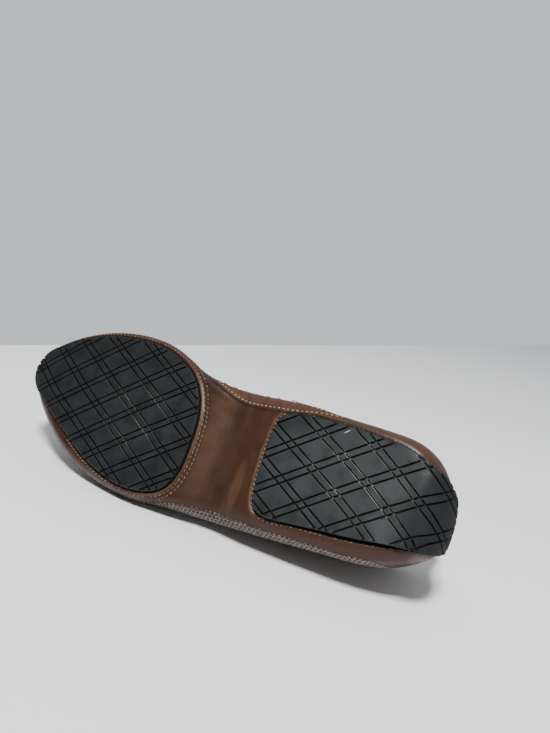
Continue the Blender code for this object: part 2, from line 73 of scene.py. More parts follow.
HEM_SIDE = RAND_WALL + GAP
HEM_FLOOR = BOTTOM_PLATE + GAP
QUARTER = math.pi / 2
WAIST_FROM = 0.351 * LENGTH
WAIST_TO = 0.506 * LENGTH
SPRING_FROM = 0.84 * LENGTH

# Diamond tread: pairs of grooves in two directions, with the profile of one groove
DIAMOND_EDGE = 18.2
DIAMOND_ANGLE = math.radians(66.3)
PAIR_SPACING = 0.235
GROOVE_PITCH = DIAMOND_EDGE * math.sin(DIAMOND_ANGLE)
GROOVE_OFFSETS = (0.68, 0.52, 0.36)
GROOVE_DEPTHS = (0.0, 0.12, 1.25)
GROOVE_RUNOUT = 0.4
RIM_DEPTH = 0.75
PLATEAU_STEPS = 4
TRIM_REACH = 8.0
PAD_ROOT = -1.0
FOREFOOT_CROSSING = np.array((290.1, 29.4))
HEEL_CROSSING = np.array((151.3, 10.8))

# How far the moulded lines are drawn off the plain grid at the heel's rear and at the toe
REAR_DRIFT_FROM = 62.0
REAR_DRIFT = np.array((5.8, -6.9))
TOE_DRIFT_FROM = 190.0
TOE_DRIFT_POWER = 1.3
TOE_DRIFT = np.array((-5.8, -3.8))
TOE_DRIFT_LATERAL = np.array((3.6, -2.4))
TOE_LATERAL = (42.0, 4.0)
BEND_ROUNDS = 8
REAR_SHALLOW = 0.25
REAR_RIM = (0.9, 2.4)
HEEL_REACH = 40.0

# Upper: end of the vamp's spine in percent, its slopes, how the wall leans, and its trimmings
TOE_BOX = (82.5, 21.0)
VAMP_SLOPE_THROAT = -0.50
VAMP_SLOPE_TOE = -0.26
COLLAR_LEAN = 0.30
SIDE_LEAN = 0.40
VAMP_LEAN = 0.55
SIDE_SHARE = 0.36
COLLAR_SHARE = 0.35
VAMP_SHARE = 0.55
THROAT_SHARE = 0.5
TOE_BOX_SHARE = 0.8924
BINDING = 7.0
BAND_TOP = 21.0
BAND_REAR = (26.0, 32.0)
BAND_FRONT = (290.0, 284.0)
HOLE_PITCH = 2.6
HOLE_ROW = 2.1
HOLE_RADIUS = 0.78

# Cross sections from heel to toe, in percent of length and ball width and in millimetres
SECTION_COLUMNS = "along medial lateral tuck_medial tuck_lateral widest rand_medial rand_lateral"
Section = namedtuple("Section", SECTION_COLUMNS)
SECTIONS = [
    Section(1.35, 9.2, -19.2, 15.0, 12.0, 21.5, 0.85, 0.85),
    Section(2.0, 14.2, -24.0, 14.0, 9.5, 21.0, 0.85, 0.85),
    Section(4.0, 22.4, -29.2, 12.0, 9.5, 20.0, 0.82, 0.80),
    Section(8.0, 30.0, -35.7, 10.5, 12.0, 18.0, 0.75, 0.62),
    Section(12.5, 32.4, -38.8, 8.0, 11.0, 16.5, 0.68, 0.57),
    Section(20.0, 34.2, -40.0, 5.6, 9.5, 15.0, 0.62, 0.52),
    Section(33.5, 39.0, -41.0, 10.0, 11.5, 15.0, 0.56, 0.47),
    Section(47.0, 41.2, -41.2, 11.0, 11.5, 14.5, 0.56, 0.42),
    Section(55.0, 46.0, -41.6, 4.4, 6.2, 14.0, 0.60, 0.60),
    Section(61.0, 54.8, -42.2, 3.6, 4.8, 14.0, 0.62, 0.88),
    Section(69.8, 62.0, -39.0, 4.2, 5.6, 13.5, 0.72, 0.88),
    Section(80.0, 61.5, -29.2, 4.2, 6.6, 13.0, 0.78, 0.82),
    Section(89.3, 54.0, -11.6, 4.2, 6.8, 13.5, 0.80, 0.80),
    Section(96.3, 43.0, 6.0, 4.6, 6.6, 14.0, 0.80, 0.80),
]
Tip = namedtuple("Tip", "along across tuck widest rand")
HEEL_TIP = Tip(0.57, -1.0, 15.0, 22.0, 0.85)
TOE_TIP = Tip(100.0, 25.0, 5.5, 14.0, 0.80)

# Edge of the foot opening from heel to throat
Rim = namedtuple("Rim", "along medial lateral height")
COLLAR = [
    Rim(8.7, 14.5, -23.0, 59.5),
    Rim(20.0, 24.0, -28.0, 54.5),
    Rim(32.0, 26.5, -27.5, 53.5),
    Rim(43.5, 24.0, -14.0, 61.0),
    Rim(50.0, 19.5, 2.0, 69.0),
]
COLLAR_BACK = (3.0, -4.0)
COLLAR_THROAT = (52.7, 11.0)

# Plan edges of the two rubber pads from their rear to their front
Edge = namedtuple("Edge", "along medial lateral")
FOREFOOT_EDGE = [Edge(*row) for row in (
    (51.3, 12.0, -17.7), (52.5, 24.6, -27.5), (54.6, 35.2, -33.2), (57.8, 43.8, -36.0),
    (62.4, 50.8, -36.6), (68.1, 55.4, -33.2), (74.2, 56.4, -26.5), (80.5, 55.2, -16.6),
    (85.9, 51.6, -7.5), (90.6, 46.8, 1.0), (94.3, 41.8, 7.6), (96.8, 36.6, 13.5),
)]
FOREFOOT_TIPS = ((51.0, -3.0), (98.6, 25.0))
HEEL_EDGE = [Edge(*row) for row in (
    (1.07, 4.9, -5.5), (1.4, 7.4, -13.5), (1.75, 9.1, -21.9), (2.5, 12.0, -23.5),
    (3.9, 14.8, -23.8), (5.3, 17.3, -24.1), (7.0, 19.4, -24.9), (10.4, 23.1, -26.5),
    (14.1, 25.3, -27.7), (20.1, 27.6, -28.7), (26.8, 28.3, -29.5), (32.2, 28.0, -29.6),
    (33.9, 25.2, -26.6), (34.65, 19.0, -20.7), (35.0, 9.5, -11.5),
)]
HEEL_TIPS = ((0.87, -1.0), (35.1, -1.0))

# Leather round the pads: ranges where a form fades in, centres and half widths of ridges, and rows
BALL_REAR = (190.0, 164.0)
HEEL_FRONT = (97.0, 102.5)
HEEL_MEDIAL = (16.0, 24.0)
HEEL_MEDIAL_REAR = (100.0, 84.0)
HEEL_LATERAL = (-8.0, -18.0)
HEEL_LATERAL_REAR = (99.0, 30.0)
HEEL_LATERAL_END = (2.0, 6.0)
POCKET_DEPTH = 0.9
POCKET_EDGE = (-0.3, -1.2)
FORE_CREVICE = (0.1, 0.5)
HEEL_CREVICE = (0.1, 0.45)
LATERAL_GAP_DEPTH = 2.2
LATERAL_GAP = (0.2, 1.25)
FORE_ROLL = (1.6, 0.75)
HEEL_ROLL = (2.1, 0.8)
SIDE_ROLL = (1.2, 2.6)
ROW_ONE = 3.3
ROW_TWO = 5.5
SIDE_ONE = 2.2
SIDE_TWO = 4.2
ROW_WIDTH = 0.55
ROWS_WIDEN = (182.0, 156.0)
ROW_ONE_ENDS = (240.0, 266.0)
ROW_TWO_ENDS = (176.0, 266.0)
LAP_HEIGHT = 0.6
LAP_EDGE = 1.5
LAP_FRONT = (158.0, 150.0)
LAP_REAR = (70.0, 84.0)
LAP_MEDIAL = (10.0, 18.0)
MEDIAL_SEAM = (
    (150.4, 39.3), (143.1, 36.2), (135.1, 32.9), (127.8, 30.9), (120.5, 30.1), (112.0, 29.9),
    (104.0, 30.1), (95.4, 30.4), (86.7, 31.0), (78.0, 31.8), (66.4, 32.4),
)
HEEL_SEAM = ((101.0, 37.1), (95.2, 35.9), (91.5, 35.3), (85.8, 34.4), (79.0, 33.7), (73.6, 33.5))

# Creases across the vamp
Crease = namedtuple("Crease", "x y0 y1 lean depth width")
VAMP_CREASES = [
    Crease(193.0, -60.0, 80.0, 0.10, 0.9, 3.6),
    Crease(204.0, -60.0, 62.0, 0.16, 0.7, 3.0),
    Crease(182.0, -60.0, 30.0, -0.05, 0.5, 3.0),
]
CREASE_FADE = 20.0
CREASE_RISE = (18.0, 32.0)

# Dust, chalk with painted highlight, painted shade, specks, scratches, cracks, painted sheen and painted
# highlight: place, radii, turn and strength of each patch
Spot = namedtuple("Spot", "x y rx ry turn strength")
HEEL_DUST = [
    Spot(62.0, -1.0, 60.0, 36.0, 0.0, 0.42),
    Spot(30.9, -21.0, 15.0, 10.0, 0.3, 0.85),
    Spot(31.9, 1.0, 14.0, 9.0, -0.3, 0.70),
    Spot(52.0, -2.0, 17.0, 12.0, 0.0, 0.35),
]
# Painted shade over the heel pad's rear, where the rubber is also made rougher
HEEL_REAR = [Spot(6.0, -3.0, 22.0, 60.0, 0.25, 1.0)]
HEEL_SPECKS = [
    Spot(25.4, 15.6, 2.0, 1.2, 0.5, 1.0),
    Spot(23.0, 15.9, 1.6, 1.2, 0.1, 1.0),
    Spot(21.5, 17.5, 1.2, 1.3, 0.0, 0.9),
    Spot(22.0, -15.5, 1.3, 1.6, 0.4, 0.9),
]
HEEL_SCRATCHES = [Spot(61.5, 24.4, 2.6, 0.30, -0.66, 1.0)]
# Chalk dust with painted highlight on the groove walls
HEEL_CHALK_AND_HIGHLIGHT = [Spot(50.0, 2.0, 42.0, 26.0, 0.5, 1.0)]
FOREFOOT_CHALK_AND_HIGHLIGHT = [Spot(196.0, 6.0, 34.0, 26.0, 0.4, 0.45)]
FOREFOOT_DUST = [
    Spot(205.0, 5.0, 60.0, 45.0, 0.0, 0.28),
    Spot(188.0, 12.0, 9.0, 5.0, 0.6, 0.35),
    Spot(231.0, -2.0, 14.0, 9.0, 0.2, 0.22),
]
WAIST_SHEEN = [Spot(115.6, -19.0, 4.5, 20.0, 0.0, 0.40), Spot(140.0, 4.0, 10.0, 40.0, 0.0, 0.25)]
HEEL_CRACKS = [
    Spot(31.2, -35.2, 3.0, 0.35, 0.03, 1.0),
    Spot(26.8, -34.9, 2.6, 0.35, -0.15, 1.0),
    Spot(22.6, -33.5, 3.2, 0.45, -0.38, 1.0),
    Spot(18.4, -31.5, 2.4, 0.30, -0.45, 1.0),
]
# Painted highlight on the lateral heel corner
HEEL_CORNER_HIGHLIGHT = [Spot(11.5, -28.2, 8.0, 3.6, -0.45, 0.35)]
FOOTBED_WORN = [Spot(50.0, -3.0, 34.0, 26.0, 0.0, 0.6), Spot(205.0, 10.0, 40.0, 38.0, 0.0, 0.5)]
SOFT_RIM = 0.6
HARD_RIM = 0.2

# Colours as sRGB from 0 to 255, where three tones run from dark to light
FOREFOOT_RUBBER = ((22, 24, 26), (27, 30, 31), (38, 42, 42))
HEEL_RUBBER = ((24, 27, 28), (32, 35, 36), (62, 66, 66))
# Painted shade in the grooves and on the pads' hidden walls
GROOVE_SHADE = (12, 12, 13)
# Painted shade for the heel pad's rear
REAR_SHADE = (20, 22, 24)
# Pale chalk dust, partly a painted highlight on lit groove walls
CHALK_AND_HIGHLIGHT = (156, 158, 155)
SPECK = (18, 18, 18)
SCRATCH = (176, 177, 174)
WRAP_TONES = ((47, 29, 19), (58, 36, 24), (74, 50, 36))
UPPER_TONES = ((50, 31, 21), (63, 41, 28), (78, 55, 40))
LINING_TONES = ((120, 86, 60), (150, 112, 80), (172, 136, 104))
FOOTBED_TONES = ((112, 78, 54), (142, 104, 74), (160, 124, 94))
FOOTBED_DARK = (88, 60, 42)
SHEEN = (94, 66, 47)
# Lighter worn rolled edges, partly a painted sheen on the beads
ROLLED_WEAR_AND_SHEEN = (98, 67, 49)
# Painted highlight colour for the heel corner
CORNER_HIGHLIGHT = (126, 100, 88)
CRACK = (18, 11, 8)
# Painted shade for seams, crevices and needle holes
SEAM_SHADE = (16, 10, 8)
BROWN_SEAM_SHADE = (34, 20, 15)
WEB_TONES = ((100, 90, 82), (136, 125, 115))
# Painted shade inside the punched holes
PUNCHED_HOLE_SHADE = (32, 25, 21)
THREAD_TONES = ((52, 35, 26), (156, 128, 102))
FLOOR_COLOUR = (250, 251, 252)
ROOM_FRONT = (72, 74, 77)
ROOM_BACK = (219, 221, 225)

# Camera in the shoe's frame, with its field of view as a focal length in pixels of the 733 pixel side
CAMERA_PLACE = np.array((-30.05, -52.74, -292.3))
CAMERA_RIGHT = np.array((-0.894, 0.303, 0.332))
CAMERA_UP = np.array((0.155, 0.901, -0.405))
FOCAL_PIXELS = 585.0
PICTURE_WIDE = 550.0
PICTURE_TALL = 733.0
TABLE_EDGE_ROW = 345.0
TABLE_REACH = 8.0

# Lights, in metres and watts
Light = namedtuple("Light", "name place size power")
LIGHTS = [Light("window", (0.24, -0.58, 1.38), 0.28, 34.0), Light("front", (-0.45, -1.25, 0.50), 0.6, 0.6)]
LIGHT_TARGET = Vector((0.0, 0.0, 0.04))

# Footbed dish under the heel, its soft edge, stitches, and angles from which an edge stays sharp
DISH_DEPTH = 0.8
DISH_ALONG = (52.0, 34.0)
DISH_ACROSS = (-3.0, 22.0)
EDGE_ROUND = 2.0
NEEDLE_RADIUS = 0.55
TONE_SPREAD = 0.16
TREAD_SHARP = math.radians(32)
FOOTBED_SHARP = math.radians(60)

# Mesh steps
BOTTOM_STATIONS = 300
BOTTOM_CROSS = 84
BOTTOM_RAND = 16
INNER_RAND = 4
BED_STEPS = 8
UPPER_STATIONS = 170
UPPER_ROWS = 44
SIDE_STEPS = 5
HEM_STEPS = 2
FOOTBED_STATIONS = 120
FOOTBED_CROSS = 41
THREAD_RINGS = 5
THREAD_SIDES = 6
HOLE_SIDES = 8
RAND_STATIONS = 400


def mount_place(name):
    """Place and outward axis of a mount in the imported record."""
    mount = next(m for m in frame["record"]["mounts"] if m["name"] == name)
    return np.array(mount["pos_m"]), np.array(mount["axis"])


def unit(rows):
    """Rows scaled to length 1."""
    return rows / np.linalg.norm(rows, axis=-1, keepdims=True)


HEEL_SPOT, TREAD_OUT = mount_place("heel_tread")
AXIS_X = unit(mount_place("forefoot_tread")[0] - HEEL_SPOT)
AXIS_Z = -unit(TREAD_OUT)
SHOE_AXES = np.array((AXIS_X, np.cross(AXIS_Z, AXIS_X), AXIS_Z))
SHOE_ORIGIN = HEEL_SPOT - MM * HEEL_MOUNT_X * AXIS_X


def to_world(points):
    """Shoe millimetres to metres in the row frame."""
    return SHOE_ORIGIN + MM * np.asarray(points, float) @ SHOE_AXES


# Curves and sections


def beside(along):
    """Unit plan directions to the left of directions along a line."""
    return unit(np.column_stack((-along[:, 1], along[:, 0])))


def running(steps):
    """Sums of the steps so far, from 0."""
    return np.concatenate(([0.0], np.cumsum(steps)))


def arc_along(points):
    """Length along a line up to each of its points."""
    return running(np.linalg.norm(np.diff(points, axis=0), axis=1))


def chords(rows, axis=0):
    """Vectors from the point before to the point after each point of closed lines."""
    return np.roll(rows, -1, axis=axis) - np.roll(rows, 1, axis=axis)


def closed_spline(points):
    """Periodic cubic spline through the points, with its parameter near to arc length in plan."""
    pts = np.array(points, float)
    count = len(pts)
    step = np.linalg.norm(np.roll(pts, -1, axis=0)[:, :2] - pts[:, :2], axis=1)
    knots = running(step)
    slope = (np.roll(pts, -1, axis=0) - pts) / step[:, None]
    system = np.zeros((count, count))
    for i in range(count):
        system[i, i - 1] = step[i - 1]
        system[i, i] = 2 * (step[i - 1] + step[i])
        system[i, (i + 1) % count] = step[i]
    bend = np.linalg.solve(system, 6 * (slope - np.roll(slope, 1, axis=0)))

    def at(parameter):
        t = np.mod(parameter, knots[-1])
        i = np.minimum(np.searchsorted(knots, t, side="right") - 1, count - 1)
        k = (i + 1) % count
        b = ((t - knots[i]) / step[i])[:, None]
        a = 1 - b
        curve = (a**3 - a) * bend[i] + (b**3 - b) * bend[k]
        return a * pts[i] + b * pts[k] + curve * (step[i] ** 2)[:, None] / 6

    return at, knots


def loop_of(rear, medial, front, lateral, shares):
    """Points and outward plan normals of a closed edge, at the same shares of both its sides."""
    at, knots = closed_spline([rear, *medial, front, *reversed(lateral)])
    half = knots[len(medial) + 1]
    t = np.concatenate((half * shares, knots[-1] - (knots[-1] - half) * shares[-2:0:-1]))
    return at(t), beside(at(t + 0.25) - at(t - 0.25))


def open_curve(points, step=0.5):
    """Evenly spaced plan points on a smooth curve through a few points."""
    pts = np.array(points, float)
    length = arc_along(pts)
    knots = np.concatenate((pts[:1] * 2 - pts[1:2], pts, pts[-1:] * 2 - pts[-2:-1]))
    out = []
    for i in range(len(pts) - 1):
        count = max(2, int((length[i + 1] - length[i]) / step))
        t = np.linspace(0.0, 1.0, count, endpoint=False)[:, None]
        a, b, c, d = knots[i : i + 4]
        curve = (2 * a - 5 * b + 4 * c - d) * t**2 + (3 * b - a - 3 * c + d) * t**3
        out.append(0.5 * (2 * b + (c - a) * t + curve))
    return np.concatenate((*out, pts[-1:]))


def end_weighted(count):
    """Shares from 0 to 1 that crowd towards both ends."""
    even = np.linspace(0.0, 1.0, count + 1)
    return 0.5 * even + 0.25 * (1 - np.cos(math.pi * even))


def waist_weighted(count):
    """Shares from 0 to 1 that crowd towards both ends and between the pads."""
    fine = np.linspace(0.0, 1.0, 2001)
    waist = np.exp(-(((fine - 0.42) / 0.10) ** 4))
    weight = 1.0 + 2.6 * waist + 1.2 * np.exp(-fine / 0.05) + 0.8 * np.exp(-(1 - fine) / 0.05)
    total = running(0.5 * (weight[1:] + weight[:-1]))
    return np.interp(np.linspace(0.0, total[-1], count + 1), total, fine)


def on_plan(along, across):
    """Millimetres for percents of length and ball width."""
    return along * LENGTH / 100, across * BALL_WIDTH / 100


def smooth_step(value, low, high):
    """Soft ramp from 0 at low to 1 at high."""
    share = np.clip((value - low) / (high - low), 0.0, 1.0)
    return share * share * (3 - 2 * share)


def bump(value, centre, half_width):
    """Soft ridge of height 1."""
    return np.exp(-(((value - centre) / half_width) ** 2))


class Girth:
    """Widest line of the shoe at given shares, with the lower quarter turn under it."""

    def __init__(self, shares):
        medial = [(*on_plan(s.along, s.medial), s.tuck_medial, s.widest, s.rand_medial) for s in SECTIONS]
        lateral = [
            (*on_plan(s.along, s.lateral), s.tuck_lateral, s.widest, s.rand_lateral) for s in SECTIONS
        ]
        heel, toe = ((*on_plan(tip.along, tip.across), *tip[2:]) for tip in (HEEL_TIP, TOE_TIP))
        loop, self.outward = loop_of(heel, medial, toe, lateral, shares)
        self.plan = loop[:, :2]
        self.tuck = loop[:, 2]
        self.widest = loop[:, 3]
        self.rand_top = np.minimum(loop[:, 4], RAND_FULL) * QUARTER
        self.share = np.concatenate((shares, shares[-2:0:-1]))
        self.arc = arc_along(self.plan)

    def inset(self, turn, side=0.0, floor=0.0):
        """Plan distance in from the widest line at a turn."""
        return side + (self.tuck + TUCK_PER_FLOOR * floor) * (1 - np.sin(turn))

    def ring(self, turn, side=0.0, floor=0.0):
        """Loop on the lower quarter turn, set in from the skin by side and up from the floor."""
        plan = self.plan - self.inset(turn, side, floor)[:, None] * self.outward
        base = floor_level(plan[:, 0]) + floor
        return np.column_stack((plan, base + (self.widest - base) * (1 - np.cos(turn))))


def floor_level(x):
    """Height of the leather's underside: flat at the pads, arched at the waist, sprung at the toe."""
    waist = np.clip((x - WAIST_FROM) / (WAIST_TO - WAIST_FROM), 0.0, 1.0)
    spring = np.clip((x - SPRING_FROM) / (LENGTH - SPRING_FROM), 0.0, None)
    return PAD_PROUD + WAIST_ARCH * np.sin(math.pi * waist) ** 2 + TOE_SPRING * spring**2


FINE = Girth(np.linspace(0.0, 1.0, 500))


def nearest_on(points, samples):
    """Index of the nearest sample of each point, in chunks."""
    found = []
    for chunk in np.array_split(np.asarray(points, float), max(1, len(points) // 4000)):
        away = np.linalg.norm(chunk[:, None, :] - samples[None, :, :], axis=2)
        found.append(np.argmin(away, axis=1))
    return np.concatenate(found)


def beyond(plan, line, out):
    """Plan distance outside an outline, negative inside."""
    nearest = nearest_on(plan, line)
    return np.sum((plan - line[nearest]) * out[nearest], axis=1)


def skin_height(plan):
    """Height of the shoe's underside over a plan point."""
    nearest = nearest_on(plan, FINE.plan)
    inside = np.sum((FINE.plan[nearest] - plan) * FINE.outward[nearest], axis=1)
    share = np.clip(1 - inside / FINE.tuck[nearest], 0.0, 1.0)
    base = floor_level(plan[:, 0])
    return base + (FINE.widest[nearest] - base) * (1 - np.sqrt(1 - share**2))


def skin_frame(plan, reach=0.2):
    """Points on the shoe's underside and the outward normals there."""
    ways = np.array(((reach, 0.0), (0.0, reach)))
    slopes = [(skin_height(plan + way) - skin_height(plan - way)) / (2 * reach) for way in ways]
    normal = unit(np.column_stack((*slopes, -np.ones(len(plan)))))
    return np.column_stack((plan, skin_height(plan))), normal


def pad_outline(edge, tips, count):
    """Plan outline of a pad with outward normals."""
    medial = [on_plan(e.along, e.medial) for e in edge]
    lateral = [on_plan(e.along, e.lateral) for e in edge]
    return loop_of(on_plan(*tips[0]), medial, on_plan(*tips[1]), lateral, end_weighted(count))


FOREFOOT_LINE, FOREFOOT_OUT = pad_outline(FOREFOOT_EDGE, FOREFOOT_TIPS, 240)
HEEL_LINE, HEEL_OUT = pad_outline(HEEL_EDGE, HEEL_TIPS, 200)
SEAM_LINE = open_curve(MEDIAL_SEAM)
SEAM_OUT = -beside(np.gradient(SEAM_LINE, axis=0))


# Mesh making


def placed(name, data):
    """New object in the scene."""
    thing = bpy.data.objects.new(name, data)
    bpy.context.collection.objects.link(thing)
    return thing


def make_piece(name, points, faces, node, materials, attributes=None, face_material=None):
    """Mesh object from shoe millimetres, hung on the root body."""
    mesh = bpy.data.meshes.new(name)
    mesh.from_pydata(to_world(points).tolist(), [], faces)
    plan = mesh.attributes.new("plan", "FLOAT_VECTOR", "POINT")
    plan.data.foreach_set("vector", np.asarray(points, np.float32).ravel())
    for label, values in (attributes or {}).items():
        layer = mesh.attributes.new(label, "FLOAT", "POINT")
        layer.data.foreach_set("value", np.asarray(values, np.float32))
    for material in materials:
        mesh.materials.append(material)
    if face_material is not None:
        mesh.polygons.foreach_set("material_index", np.asarray(face_material, np.int32))
    mesh.shade_smooth()
    piece = placed(name, mesh)
    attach(piece, "root")
    return piece


def weld(points, faces, reach=0.002):
    """Points joined where they lie on each other and faces that don't collapse, with what was kept."""
    keys = np.round(points / reach).astype(np.int64)
    _, first, where = np.unique(keys, axis=0, return_index=True, return_inverse=True)
    where = where.ravel().tolist()
    joined = [list(dict.fromkeys(where[i] for i in face)) for face in faces]
    kept = [n for n, face in enumerate(joined) if len(face) > 2]
    return points[first], [joined[n] for n in kept], first, kept


def turned_out(points, faces):
    """Faces of a closed mesh, turned over if they look inward."""
    fans = np.array([(face[0], b, c) for face in faces for b, c in zip(face[1:], face[2:])])
    a, b, c = points[fans].transpose(1, 0, 2)
    inward = np.sum(a * np.cross(b, c)) < 0
    return [face[::-1] for face in faces] if inward else faces


def grid_faces(rows, columns, closed_rows=False, closed_columns=False):
    """Quads of a grid of points, row by row."""
    faces = []
    for i in range(rows if closed_rows else rows - 1):
        low = i * columns
        high = ((i + 1) % rows) * columns
        for k in range(columns if closed_columns else columns - 1):
            n = (k + 1) % columns
            faces.append((low + k, low + n, high + n, high + k))
    return faces


def mesh_normals(points, faces):
    """Vertex normals of a mesh."""
    mesh = bpy.data.meshes.new("normals")
    mesh.from_pydata(points.tolist(), [], faces)
    normals = np.zeros(len(points) * 3)
    mesh.vertices.foreach_get("normal", normals)
    bpy.data.meshes.remove(mesh)
    return normals.reshape(-1, 3)


# Materials


def srgb(red, green, blue):
    """Linear colour of an sRGB colour from 0 to 255."""
    part = np.array((red, green, blue)) / 255
    linear = np.where(part <= 0.04045, part / 12.92, ((part + 0.055) / 1.055) ** 2.4)
    return (*linear.tolist(), 1.0)


def principled(name):
    """New material and its shader."""
    material = bpy.data.materials.new(name)
    material.use_nodes = True
    return material, material.node_tree.nodes["Principled BSDF"]


class Paint:
    """Node tree with short ways to add nodes to it."""

    def __init__(self, tree):
        self.tree = tree

    def feed(self, node, inputs):
        """Link sockets to a node's inputs and set plain values on the inputs themselves."""
        for label, value in inputs.items():
            if isinstance(value, bpy.types.NodeSocket):
                self.tree.links.new(value, node.inputs[label])
            else:
                node.inputs[label].default_value = value

    def add(self, kind, output, inputs, **settings):
        """One output of a new node."""
        node = self.tree.nodes.new("ShaderNode" + kind)
        for label, value in settings.items():
            setattr(node, label, value)
        self.feed(node, inputs)
        return node.outputs[output]

    def math(self, kind, *values):
        """Result of a sum on sockets and values."""
        return self.add("Math", "Value", dict(enumerate(values)), operation=kind)

    def times(self, first, second):
        """Product of two sockets or values."""
        return self.math("MULTIPLY", first, second)

    def ramp(self, value, low, high, start=0.0, end=1.0):
        """Soft ramp of a value."""
        inputs = {"Value": value, "From Min": low, "From Max": high, "To Min": start, "To Max": end}
        return self.add("MapRange", "Result", inputs, interpolation_type="SMOOTHSTEP")

    def mix(self, share, first, second):
        """Mix of two colours, each a socket or an sRGB colour."""
        inputs = {"Factor": share}
        for label, colour in (("A", first), ("B", second)):
            inputs[label] = srgb(*colour) if isinstance(colour, tuple) else colour
        return self.add("Mix", "Result", inputs, data_type="RGBA")


class Surface(Paint):
    """Material with its shader and its place on the shoe in millimetres."""

    def __init__(self, name, roughness):
        self.material, self.shader = principled(name)
        super().__init__(self.material.node_tree)
        self.place = self.number("plan", "Vector")
        self.dress({"Roughness": roughness})

    def dress(self, inputs):
        """Set or link inputs of the shader."""
        self.feed(self.shader, inputs)

    def number(self, name, output="Fac"):
        """Value of a point attribute."""
        return self.add("Attribute", output, {}, attribute_name=name)

    def stretched(self, scale, turn=0.0):
        """Place scaled along its axes, for streaks."""
        inputs = {"Vector": self.place, "Rotation": (0, 0, turn), "Scale": scale}
        return self.add("Mapping", "Vector", inputs)

    def noise(self, scale, detail=4.0, place=None):
        """Cloudy noise over the shoe."""
        place = self.place if place is None else place
        inputs = {"Vector": place, "Scale": scale, "Detail": detail, "Roughness": 0.55}
        return self.add("TexNoise", "Fac", inputs)

    def spots(self, spots, edge=SOFT_RIM):
        """Strongest of several patches, each full from a share of the way in from its rim."""
        best = None
        for spot in spots:
            inputs = {"Location": (spot.x, spot.y, 0), "Scale": (spot.rx, spot.ry, 1000)}
            inputs.update({"Vector": self.place, "Rotation": (0, 0, spot.turn)})
            local = self.add("Mapping", "Vector", inputs, vector_type="TEXTURE")
            ball = self.add("TexGradient", "Fac", {"Vector": local}, gradient_type="SPHERICAL")
            mask = self.times(self.ramp(ball, 0.0, edge), spot.strength)
            best = mask if best is None else self.math("MAXIMUM", best, mask)
        return best

    def relief(self, height, distance, strength=1.0, before=None):
        """Bump from a height socket, on top of an earlier one."""
        inputs = {"Height": height, "Strength": strength, "Distance": distance}
        if before is not None:
            inputs["Normal"] = before
        normal = self.add("Bump", "Normal", inputs)
        self.dress({"Normal": normal})
        return normal

    def leather_colour(self, dark, middle, light):
        """Brown leather colour with cloudy tone and streaks across the waist."""
        streak = self.noise(1.0, 3.0, self.stretched((0.30, 0.025, 0.1)))
        colour = self.mix(self.ramp(self.noise(0.03, 2.0), 0.25, 0.6), dark, middle)
        return self.mix(self.ramp(streak, 0.54, 0.8, 0.0, 0.5), colour, light)

    def leather_grain(self, strength):
        """Pores and fine wrinkles."""
        pores = self.add("TexVoronoi", "Distance", {"Vector": self.place, "Scale": 1.1})
        fine = self.relief(pores, 0.00010, strength)
        return self.relief(self.noise(0.5, 5.0), 0.00018, strength, fine)


def rubber(name, tones, dust, chalk_and_highlight_spots, rear_shade_and_rough_spots=(), specks=(), scratches=()):
    """Moulded rubber with painted shade in the grooves, rubbed plateaus, dust and scuffs, chalk with
    painted highlight, and optional painted shade at the rear.
    """
    deep, worn, dusty = tones
    pad = Surface(name, 0.52)
    cloud = pad.noise(0.11, 5.0)
    colour = pad.mix(pad.ramp(cloud, 0.35, 0.7), deep, worn)
    shade = pad.times(pad.spots(dust), pad.ramp(cloud, 0.2, 0.62, 0.45, 1.0))
    shade = pad.times(shade, pad.ramp(pad.noise(1.3, 3.0), 0.35, 0.62, 0.5, 1.0))
    colour = pad.mix(shade, colour, dusty)
    # Painted shade: grooves darken with their depth, and the pad's wall and back by a fixed share
    colour = pad.mix(pad.ramp(pad.number("depth"), 0.25, 0.85), colour, GROOVE_SHADE)
    rough = pad.ramp(cloud, 0.3, 0.7, 0.44, 0.62)
    # Painted shade where the heel's rear turns away from the light, with rougher rubber there
    if rear_shade_and_rough_spots:
        rear_shade_and_rough = pad.spots(rear_shade_and_rough_spots)
        colour = pad.mix(rear_shade_and_rough, colour, REAR_SHADE)
        rough = pad.math("MAXIMUM", rough, pad.times(rear_shade_and_rough, 0.75))
    # Chalk dust and painted highlight on the walls of one groove direction
    wall = pad.number("chalk_and_highlight")
    wall = pad.times(pad.ramp(wall, 0.0, 0.12), pad.ramp(wall, 0.98, 0.55))
    patchy = pad.ramp(pad.noise(0.07, 2.0), 0.40, 0.62, 0.25, 1.0)
    wall = pad.times(wall, pad.times(patchy, pad.spots(chalk_and_highlight_spots)))
    colour = pad.mix(wall, colour, CHALK_AND_HIGHLIGHT)
    for spots, tone in ((specks, SPECK), (scratches, SCRATCH)):
        if spots:
            colour = pad.mix(pad.spots(spots), colour, tone)
    pad.dress({"Base Color": colour, "Roughness": rough, "Specular IOR Level": 0.3})
    fine = pad.relief(pad.noise(2.6), 0.00012, 0.7)
    pad.relief(pad.noise(0.16, 3.0), 0.0006, 0.12, fine)
    return pad.material


